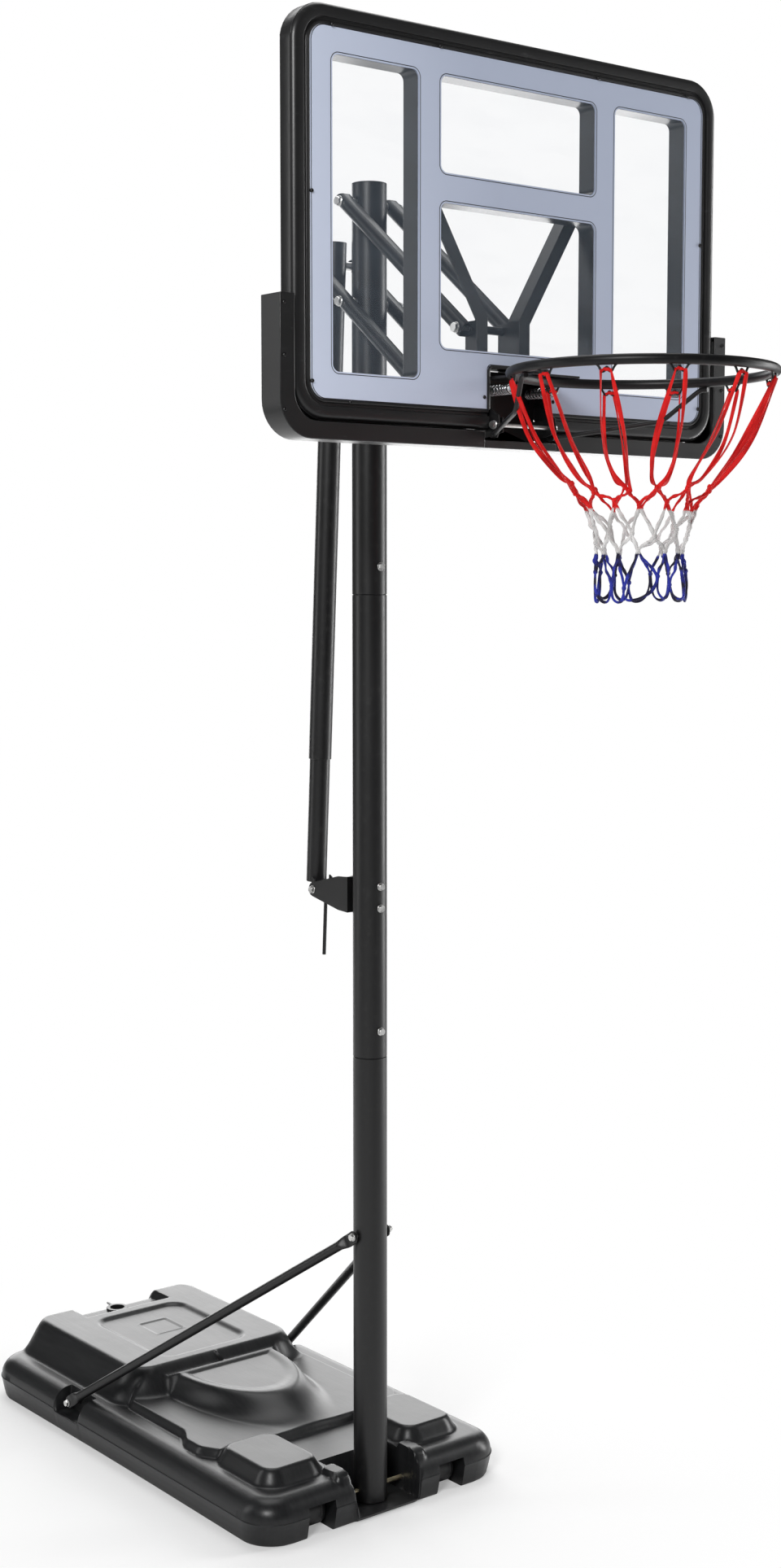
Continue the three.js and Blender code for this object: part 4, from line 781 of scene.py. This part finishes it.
def buildBolts():
    for node, size, axis, flip, nut in boltList:
        low, high = (np.array(c) * 1000 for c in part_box(node))
        k = "xyz".index(axis)
        centre = (low + high) / 2
        centre[k] = 0
        spacer = None
        if node.startswith("jack_top_pin"):
            spacer = (size["headHeight"] + 2 * size["washerHeight"] + 31, high[k] - low[k], 9.5)
        if node.startswith("strut_foot"):
            under = size["headHeight"] + size["washerHeight"]
            spacer = (under + 5.6, under + 28.5, 8.5)
        bolt = Surfaces()
        for rows, share in boltSurfaces(size, low[k], high[k], flip, nut, spacer):
            bolt.grid(turned(rows, 48, axis, centre, share))
        finishPiece(node + "_plated", bolt, bodyOf[node], "zinc_steel", zincPlate, (node,), 28)
    bushes = [f"{level}_pivot_bush_{side}" for level in ("upper", "lower") for side in ("left", "right")]
    for node in bushes + ["upper_front_sleeve", "lower_front_sleeve"]:
        low, high = (np.array(c) * 1000 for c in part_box(node))
        centre = (low + high) / 2
        radius, wall = (8, 2.7) if node.endswith("sleeve") else (9.5, 4.2)
        rows = tubeProfile(radius, wall, low[0] - centre[0], high[0] - centre[0])
        tube = Surfaces().grid(turned(rows, 40, "x", centre))
        if node.endswith("sleeve"):
            finishPiece(node + "_coated", tube, "board", "black_steel", steelBlack, (node,), 30)
        else:
            finishPiece(node + "_plated", tube, "stand", "zinc_steel", zincPlate, (node,), 30)


buildBolts()
print("bolts ready")


# ---------- lift arms and jack ----------

arm = {
    "r": 16, "wall": 1.5, "length": 463, "rest": math.radians(38), "x": 60,
    "levels": {"upper": 2746, "lower": 2547}, "reach": {"upper": 0, "lower": 150},
}


def placeInYZ(grid, angle, y, z):
    # turned about X by the angle, then moved
    c, s = math.cos(angle), math.sin(angle)
    a, b = grid[..., 1], grid[..., 2]
    return np.stack([grid[..., 0], y + c * a - s * b, z + s * a + c * b], -1)


def buildArms():
    angle = np.linspace(0, tau, 65)
    for level in ("upper", "lower"):
        for name, sign in (("left", -1), ("right", 1)):
            rows = []
            for radius, order in ((arm["r"], 1), (arm["r"] - arm["wall"], -1)):
                # the ends follow a cylinder across the tube: y = end + sqrt(R^2 - z^2)
                height = radius * np.sin(angle)
                over = np.sqrt(np.maximum(arm["r"] ** 2 - height ** 2, 0))
                across = radius * np.cos(angle)
                stops = [-arm["length"] - over, arm["reach"][level] + over]
                stops = [np.stack([across, stop, height], -1) for stop in stops]
                rows += stops[::order]
            grid = np.stack(rows + rows[:1])
            grid = placeInYZ(grid, arm["rest"], 0, arm["levels"][level]) + [sign * arm["x"], 0, 0]
            node = f"{level}_arm_{name}"
            tube = Surfaces().grid(grid)
            finishPiece(node + "_coated", tube, level + "_arms", "black_steel", steelBlack, (node,), 40)


jack = {
    "y": 161, "z": 1322, "offset": 28, "tilt": math.radians(3.0780458), "outer": 24.5, "inner": 22,
    "wall": 1.6, "pin": 1317.7, "overPin": 46, "length": 1085,
}


def onJack(grid):
    return placeInYZ(grid + [0, jack["offset"], 0], jack["tilt"], jack["y"], jack["z"])


def buildJack():
    wall, top = jack["wall"], jack["pin"] + jack["overPin"]
    casing = tubeProfile(jack["outer"], wall, top - jack["length"], top, 0.8)
    outer = Surfaces().grid(onJack(turned(casing, 72)))
    outer.grid(onJack(turned(rodProfile(5, -24.1, 24.1), 24, "x", (0, 0, top - jack["overPin"]))))
    black = ("black_steel", steelBlack)
    finishPiece("jack_outer_tube_coated", outer, "jack_upper", *black, ("jack_outer_tube",))
    inner = Surfaces().grid(onJack(turned(tubeProfile(jack["inner"], wall, 12, 792), 64)))
    inner.grid(onJack(turned([(8.3, 12), (21, 12), (21, 17), (8.3, 17), (8.3, 12)], 48)))
    for sign in (-1, 1):
        # the lug is a plate with a round nose: a stadium outline swept through its thickness
        a = np.linspace(0.5 * math.pi, 1.5 * math.pi, 20)
        nose = np.stack([-28 + 10.5 * np.cos(a), 10.5 * np.sin(a)], 1)
        outline = np.concatenate([[[-16, 26], [-24, 22]], nose, [[-16, -10.5], [-16, 26]]])
        middle = np.broadcast_to(np.array([-20.0, 4.0]), outline.shape)
        near, far = sign * 21.5, sign * 25.3
        layers = ((near, middle), (near, outline), (far, outline), (far, middle))
        rows = [np.column_stack([np.full(len(outline), x), ring]) for x, ring in layers]
        inner.grid(onJack(np.stack(rows)))
    finishPiece("jack_inner_tube_coated", inner, "jack_lower", *black, ("jack_inner_tube",), 40)
    drop = rounded([(0, 0, -8), (0, 0, -22), (27, 0, -27), (27, 0, -154)], 9, 10)
    crank = Surfaces().grid(onJack(swept(drop, 4, 20, (0, 1, 0))))
    crank.grid(onJack(turned([(0, -14), (8, -14), (9, -13), (9, 4.7), (8.2, 5.7), (0, 5.7)], 40)))
    finishPiece("crank_handle_coated", crank, "crank", *black, ("crank_handle",), 40)
    screw = Surfaces()
    t = np.linspace(0, 1, 1400)
    ridge = 7.6 + 0.4 * np.sin(tau * t * 250)
    screw.grid(onJack(turned(np.stack([ridge, 6 + 1056 * t], 1), 20)))
    screw.grid(onJack(turned([(0, 6), (7.5, 6), (7.5, 1062), (0, 1062)], 16)))
    screw.grid(onJack(turned([(0, 17.3), (14, 17.3), (14, 23), (0, 23)], 32)))
    finishPiece("jack_screw_threaded", screw, "crank", "spring_steel", springShade, ("jack_screw",), 60)


buildArms()
buildJack()
softened("jack_bracket", 0.0016, steelBlack, "black_steel")
print("arms and jack ready")


# ---------- backboard ----------

board = {"halfWidth": 528, "halfHeight": 358, "centre": 2621, "corner": 70, "notch": 77.3}


def roundedPath(halfWidth, low, high, r):
    # straight runs joined by quarter circles: x, z and the outward normal, anticlockwise from the bottom
    steps = 20
    a = math.pi * (np.array([-0.5, 0.0, 0.5, 1.0])[:, None] + np.linspace(0, 0.5, steps)).ravel()
    right, bottom, top = halfWidth - r, low + r, high - r
    centreX = np.repeat([right, right, -right, -right], steps)
    centreZ = np.repeat([bottom, top, top, bottom], steps)
    return centreX + r * np.cos(a), centreZ + r * np.sin(a), np.cos(a), np.sin(a)


def frameSection():
    # distance inwards from the outer edge, and y: back, side, rounded front edge, groove, lip on the sheet
    a = np.linspace(0, math.pi / 2, 10)
    section = [(4.0, -424.0), (0.8, -423.6), (0.0, -425.0)]
    section += [(12 - 12 * math.cos(q), -451 - 12 * math.sin(q)) for q in a]
    section += [(22.5, -463.2), (24.3, -462.6), (25.2, -460.8), (25.6, -458.2), (27.5, -457.6),
                (30.5, -457.6), (31.6, -458.6), (32.2, -461.0), (33.2, -461.7), (35.6, -461.7),
                (36.8, -461.2), (37.4, -460.2), (37.6, -458.0), (37.6, -450.0), (4.0, -450.0), (4.0, -424.0)]
    return np.array(section)


def buildFrame():
    bottom, top = board["centre"] - board["halfHeight"], board["centre"] + board["halfHeight"]
    x, z, nx, nz = roundedPath(board["halfWidth"], bottom, top, board["corner"])
    # the path starts and ends at the cut-out for the rim in the bottom edge
    x, z = np.concatenate([[board["notch"]], x, [-board["notch"]]]), np.concatenate([[bottom], z, [bottom]])
    nx, nz = np.concatenate([[0], nx, [0]]), np.concatenate([[-1], nz, [-1]])
    inward, depth = frameSection().T
    y = np.broadcast_to(depth, (len(x), len(depth)))
    grid = np.stack([x[:, None] - nx[:, None] * inward, y, z[:, None] - nz[:, None] * inward], -1)
    edge = Surfaces().grid(capped(grid), 4.0)
    finishPiece("backboard_frame_rim", edge, "board", "black_plastic", plasticBlack, (), 30)


def sinkFront(mesh):
    # the ribs' flat front drops behind the rounded rim that covers it
    place = np.empty(len(mesh.vertices) * 3, np.float32)
    mesh.vertices.foreach_get("co", place)
    place = place.reshape(-1, 3)
    place[place[:, 1] < -0.4628, 1] += 0.0075
    outer = board["halfWidth"] * mm - 0.0005
    place[:, 0] = np.where(np.abs(place[:, 0]) > outer, np.sign(place[:, 0]) * (outer - 0.001), place[:, 0])
    top = (board["centre"] + board["halfHeight"]) * mm - 0.0005
    place[:, 2] = np.minimum(place[:, 2], top - 0.001)
    mesh.vertices.foreach_set("co", place.ravel())


def buildNotchLiner():
    # a thin black trim that lines the cut-out round the rim's mount: an inverted U swept at a constant depth
    x, top, low, r = 76.6, 2379.6, 2300, 9
    a = np.linspace(0, math.pi / 2, 8)
    side = [(x, low)] + [(x - r + r * math.cos(q), top - r + r * math.sin(q)) for q in a]
    path = np.array(side + [(-px, pz) for px, pz in reversed(side)])
    normal = np.gradient(path, axis=0)
    normal = np.stack([-normal[:, 1], normal[:, 0]], 1) / np.linalg.norm(normal, axis=1, keepdims=True)
    section = [(0, -457.0), (0, -414.5), (2.6, -414.5), (2.6, -461.2), (-0.2, -462.0), (-3.4, -461.8),
               (-3.6, -460.3), (0, -460.3), (0, -457.0)]
    shift, depth = np.array(section).T
    px, pz = path[:, :1] + normal[:, :1] * shift, path[:, 1:] + normal[:, 1:] * shift
    liner = Surfaces().grid(capped(np.stack([px, np.broadcast_to(depth, px.shape), pz], -1)))
    finishPiece("notch_liner", liner, "board", "black_plastic", plasticBlack, (), 30)


def buildScrews():
    # pan-head screws round the frame and guard: a low dome, z = h sqrt(1 - (r / R)^2), with a recess
    spots = [(443, 2943, -463.2), (198, 2943, -463.2), (487, 2656, -461.4), (487, 2330, -461.4),
             (403, 2297, -461.4), (87, 2323, -460.2)]
    spots = [(side * x, z, y) for x, z, y in spots for side in (-1, 1)]
    spots += [(side * 551, z, -467.0) for side in (-1, 1) for z in (2460, 2370, 2277)]
    recess = [(0, -2.2), (1.2, -2.2), (1.3, -1.2), (1.9, -1.2), (2.0, -2.1)]
    dome = [(3.6 * math.sin(a), -0.2 - 1.9 * math.cos(a)) for a in np.linspace(0, math.pi / 2, 6)[3:]]
    profile = recess + dome + [(3.6, 1.5), (0, 1.5)]
    screws = Surfaces()
    for x, z, y in spots:
        screws.grid(turned([(r, y + h) for r, h in profile], 20, "y", (x, 0, z)))
    finishPiece("board_screws", screws, "board", "zinc_steel", steelBlack, (), 30)


sheetName = "backboard_sheet"
sheetMesh = cleanCopy(sheetName)
finishPiece(sheetName + "_printed", sheetMesh, "board", "clear_sheet", sheetShade, (sheetName,), 30)
buildFrame()
frameRibs = softened("backboard_frame", 0.0009, plasticBlack, "black_plastic", 2, "backboard_frame_ribs")
sinkFront(frameRibs.data)
for guardNode in ("guard_left", "guard_right", "guard_centre"):
    softened(guardNode, 0.0016, plasticBlack, "black_plastic", 3)
for bracketNode in ("board_bracket_left", "board_bracket_right", "rim_mount_plate"):
    softened(bracketNode, 0.0009, steelBlack, "black_steel", 2)
buildNotchLiner()
buildScrews()
print("backboard ready")


# ---------- rim ----------

rim = {"y": -786, "z": 2349, "r": 234, "tube": 9, "hooks": 12, "hookWire": 2.1, "hookZ": 2331}
brace = {"r": 4.5, "ring": (225.3, -722.7), "knee": (184, -655, 2279), "foot": (77.5, -476, 2254)}


def hookFrame(k):
    # the outward and the sideways direction at hook k
    a = k * tau / rim["hooks"]
    return np.array([math.cos(a), math.sin(a), 0]), np.array([-math.sin(a), math.cos(a), 0])


def buildRing():
    angle = np.linspace(0, tau, 193)
    # ring of circles: centre line plus tube (cos b outward + sin b up)
    b = np.linspace(0, tau, 25)[None, :, None]
    out = np.stack([np.cos(angle), np.sin(angle), 0 * angle], 1)[:, None]
    middle = np.array([0, rim["y"], rim["z"]], float)
    grid = middle + rim["r"] * out + rim["tube"] * (np.cos(b) * out + np.sin(b) * np.array([0, 0, 1.0]))
    ring = Surfaces().grid(grid, 40.0)
    # each hook is a W of wire: two shoulders under the tube, two drops and a raised middle
    half = [(-19, -6.5), (-15, -9.5), (-12, -14), (-9, -19), (-4.5, -19), (-1.5, -13)]
    shape = half + [(-s, h) for s, h in reversed(half)]
    for k in range(rim["hooks"]):
        radial, along = hookFrame(k)
        base = middle + rim["r"] * radial
        wire = spline([base + along * s + np.array([0, 0, h]) for s, h in shape], 60)
        ring.grid(swept(wire, rim["hookWire"], 8, radial))
    finishPiece("rim_ring_coated", ring, "rim", "black_steel", rimBlack, ("rim_ring",), 50)


def buildBraces():
    for name, sign in (("left", -1), ("right", 1)):
        x, y = brace["ring"]
        z = rim["z"] - rim["tube"] - brace["r"] - 0.1
        knee, foot = np.array(brace["knee"], float), np.array(brace["foot"], float)
        path = rounded([(x + 2.2, y - 7.7, z), (x - 2.2, y + 7.7, z), knee, foot], 13, 10) * [sign, 1, 1]
        node = "rim_brace_" + name
        bar = Surfaces().grid(swept(path, brace["r"], 24))
        finishPiece(node + "_coated", bar, "rim", "black_steel", rimBlack, (node,), 50)


spring = {"x": 54, "z": 2338, "r": 9.1, "wire": 1.6, "rear": -423.6, "front": -495.6, "turns": 11}


def buildSprings():
    for name, sign in (("left", -1), ("right", 1)):
        t = np.linspace(0, 1, spring["turns"] * 40 + 1)
        # the pitch closes at both ends: height = wire + span (t - sin(2 pi t) / 12)
        span = spring["rear"] - spring["front"] - 2 * spring["wire"]
        along = spring["wire"] + span * (t - np.sin(tau * t) / 12)
        a = tau * spring["turns"] * t
        x, z = sign * spring["x"] + spring["r"] * np.cos(a), spring["z"] + spring["r"] * np.sin(a)
        path = np.stack([x, spring["rear"] - along, z], 1)
        node = "rim_spring_" + name
        coil = Surfaces().grid(swept(path, spring["wire"], 12, (0, 1, 0)))
        piece = finishPiece(node + "_coiled", coil, bodyOf[node], "spring_steel", springShade, (node,), 60)
        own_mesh(piece)


net = {
    # each row of knots: radius, height, share of a step it is turned by, scatter
    "rows": [(234, 2331, 0.0, 0.0), (121, 2146, 0.0, 0.09), (99, 2112, 0.5, 0.08), (85, 2068, 0.0, 0.1),
             (75, 2031, 0.5, 0.09), (74, 1984, 0.0, 0.14), (79, 1948, 0.5, 0.05)],
    "scatter": rng.uniform(-1, 1, (3, 7, 12)), "red": 3.7, "redLow": 3.2, "white": 3.5, "blue": 3.0,
}


def netLevel(row, k):
    # knot k of a row: angle (k + its row's turn) steps, with a little seeded scatter
    radius, z, half, share = net["rows"][row]
    turn, reach, rise = net["scatter"][:, row, k % rim["hooks"]] * share
    a = (k + half) * tau / rim["hooks"] + turn
    r = radius + reach * 60
    return np.array([r * math.cos(a), rim["y"] + r * math.sin(a), z + rise * 120])


def cordRun(points, radius, flat, count):
    # a flat cord along a spline, its width turning slowly as it goes
    path = spline(points, count)
    out = path - [0, rim["y"], 0]
    out[:, 2] = 0
    out /= np.linalg.norm(out, axis=1, keepdims=True) + 1e-9
    start = rng.uniform(0, tau)
    wobble = start + np.linspace(0, 1, count) * tau * rng.uniform(0.3, 0.8)
    thick = radius * (1 + 0.12 * np.sin(np.linspace(0, 3, count) * tau + start))
    return swept(path, thick, 10, out, flat, wobble)


def knot(centre, size):
    # a lumpy ball: radius = size (1 + 0.18 sin(3a) cos(2b))
    a, b = np.meshgrid(np.linspace(0, tau, 17), np.linspace(0, math.pi, 10), indexing="ij")
    r = size * (1 + 0.18 * np.sin(3 * a) * np.cos(2 * b) * np.sin(b))
    across = r * np.sin(b)
    return np.stack([across * np.cos(a), across * np.sin(a), 1.25 * r * np.cos(b)], -1) + centre


def hangLegs(cords, k):
    # two long legs hang from the hook's two bends, sag inwards and meet in the first knot
    radial, along = hookFrame(k)
    hook, low = netLevel(0, k), netLevel(1, k)
    base = np.array([0, rim["y"], rim["hookZ"]], float)
    for side in (-1, 1):
        spread = 21 + 7 * rng.uniform(-1, 1)
        top = hook + along * side * 8
        mid = base + radial * (197 + rng.uniform(-6, 4)) + along * side * spread + [0, 0, -100]
        lower = base + radial * (146 + rng.uniform(-5, 5)) + along * side * spread * 0.75 + [0, 0, -162]
        leg = [top + radial, top - [0, 0, 10] + along * side * 2, mid, lower, low + along * side * 1.5]
        cords.grid(cordRun(leg, net["red"], 0.36, 44), 0.17)
    bight = [hook - along * 8, hook + [0, 0, 2.5], hook + along * 8]
    cords.grid(cordRun(bight, net["red"], 0.7, 14), 0.02)
    cords.grid(knot(low, 4.6), 0.01)


def crossCords(cords, k):
    # each knot sends one cord to either side, down to the next row: row, cord radius, size of the knot below
    rows = ((1, net["redLow"], 4.4), (2, net["white"], 4.2), (3, net["white"], 4.0), (4, net["blue"], 4.0))
    drop = np.array([0, 0, 2.0])
    for row, radius, size in rows:
        start = netLevel(row, k)
        for step in ((0, 1) if net["rows"][row][2] else (-1, 0)):
            end = netLevel(row + 1, k + step)
            middle = (start + end) / 2
            outwards = middle - [0, rim["y"], middle[2]]
            middle = middle + outwards / np.linalg.norm(outwards) * rng.uniform(0, 4)
            run = [start, start * 0.75 + end * 0.25 - drop, middle, start * 0.25 + end * 0.75 + drop, end]
            cords.grid(cordRun(run, radius, 0.66, 22), 0.06)
        cords.grid(knot(netLevel(row + 1, k), size), 0.01)


def bottomLoop(cords, k):
    # the last row hangs in open loops: share of the way across and of the way down
    loop = [(0, 0), (0.02, 0.4), (0.16, 0.84), (0.5, 1.0), (0.84, 0.84), (0.98, 0.4), (1, 0)]
    start, end, bottom = netLevel(5, k), netLevel(5, k + 1), netLevel(6, k)
    depth = bottom - (start + end) / 2
    hang = [start + (end - start) * across + depth * down for across, down in loop]
    cords.grid(cordRun(hang, net["blue"], 0.66, 50), 0.12)


def buildNet():
    cords = Surfaces()
    for k in range(rim["hooks"]):
        hangLegs(cords, k)
        crossCords(cords, k)
        bottomLoop(cords, k)
    finishPiece("net_corded", cords, "rim", "net_cord", cordShade, ("net",), 60)


buildRing()
buildBraces()
buildSprings()
buildNet()
softened("rim_plate", 0.0009, steelBlack, "black_steel", 2)
print("rim and net ready")

nutMesh = nodes["jack_nut"].data
nutMesh.materials.clear()
nutMesh.materials.append(zincPlate)


# ---------- floor, lights and camera ----------

def buildStage():
    g = Graph("floor_paint")
    x, y = g.xyz()[:2]
    # distance outside the tank's footprint: the shadow shows close to it and fades to plain white
    across, along = (abs(x) - 0.33).high(0.0), (abs(y - 0.515) - 0.58).high(0.0)
    away = g.span((across ** 2.0 + along ** 2.0) ** 0.5, 0.0, 0.7, 0.3, 1.0)
    speck = g.noise(g.place(), 60.0, 3.0)
    paint = g.mix(speck, rgb(0.93, 0.93, 0.93), rgb(0.96, 0.96, 0.96))
    painted = g.add("BsdfDiffuse", None, {"Color": paint})
    glow = g.add("Emission", None, {"Color": rgb(1, 1, 1), "Strength": 1.0})
    seen = g.add("LightPath")
    share = g.add("MixShader", None, {0: away * seen, 1: painted, 2: glow})
    g.add("OutputMaterial", None, {0: share})
    size = 30000.0
    points = [[[-size, -size, 0], [-size, size, 0]], [[size, -size, 0], [size, size, 0]]]
    mesh = Surfaces().grid(np.array(points)).mesh("floor")
    floor = bpy.data.objects.new("floor", mesh)
    bpy.context.scene.collection.objects.link(floor)
    mesh.materials.append(g.material)
    world = bpy.data.worlds.new("studio")
    bpy.context.scene.world = world
    world.use_nodes = True
    tree = world.node_tree
    tree.nodes.clear()
    path = tree.nodes.new("ShaderNodeLightPath")
    light = tree.nodes.new("ShaderNodeMath")
    light.operation = "MULTIPLY_ADD"
    light.inputs[1].default_value = 0.9
    light.inputs[2].default_value = 0.1
    background = tree.nodes.new("ShaderNodeBackground")
    background.inputs["Color"].default_value = rgb(1, 1, 1)
    output = tree.nodes.new("ShaderNodeOutputWorld")
    tree.links.new(path.outputs["Is Camera Ray"], light.inputs[0])
    tree.links.new(light.outputs[0], background.inputs["Strength"])
    tree.links.new(background.outputs[0], output.inputs[0])


def softBox(name, place, aim, size, power):
    lamp = bpy.data.lights.new(name, "AREA")
    lamp.shape, lamp.size, lamp.size_y, lamp.energy = "RECTANGLE", size[0], size[1], power
    box = bpy.data.objects.new(name, lamp)
    box.visible_camera = False
    bpy.context.scene.collection.objects.link(box)
    box.location = place
    direction = np.array(aim, float) - np.array(place, float)
    down = math.atan2(-direction[2], math.hypot(direction[0], direction[1]))
    box.rotation_euler = (math.pi / 2 - down, 0, math.atan2(direction[1], direction[0]) - math.pi / 2)


view = {"place": (-2.744, -3.510, 1.973), "azimuth": -38.575, "down": 5.301, "focal": 2628.6, "high": 1927}


def buildCamera():
    camera = bpy.data.cameras.new("camera")
    eye = bpy.data.objects.new("camera", camera)
    bpy.context.scene.collection.objects.link(eye)
    eye.location = view["place"]
    eye.rotation_euler = (math.radians(90 - view["down"]), 0, math.radians(view["azimuth"]))
    camera.sensor_fit = "VERTICAL"
    camera.sensor_height = 36.0
    camera.lens = view["focal"] / view["high"] * 36.0
    camera.clip_end = 200
    bpy.context.scene.camera = eye


buildStage()
softBox("key", (-5.0, -3.6, 4.8), (0, 0, 1.9), (1.8, 1.8), 265)
softBox("side", (4.6, -1.7, 2.0), (0, 0, 1.5), (1.0, 3.6), 150)
softBox("top", (0.6, 1.4, 5.6), (0, 0.3, 0), (3.2, 3.2), 90)
softBox("backdrop", (3.4, 5.6, 2.4), (0, 0, 0.8), (7.0, 4.6), 380)
softBox("left_edge", (-4.6, 3.2, 2.6), (0, 0, 1.6), (1.2, 4.0), 60)
buildCamera()
bpy.context.scene.view_settings.view_transform = "Standard"
print("scene ready")
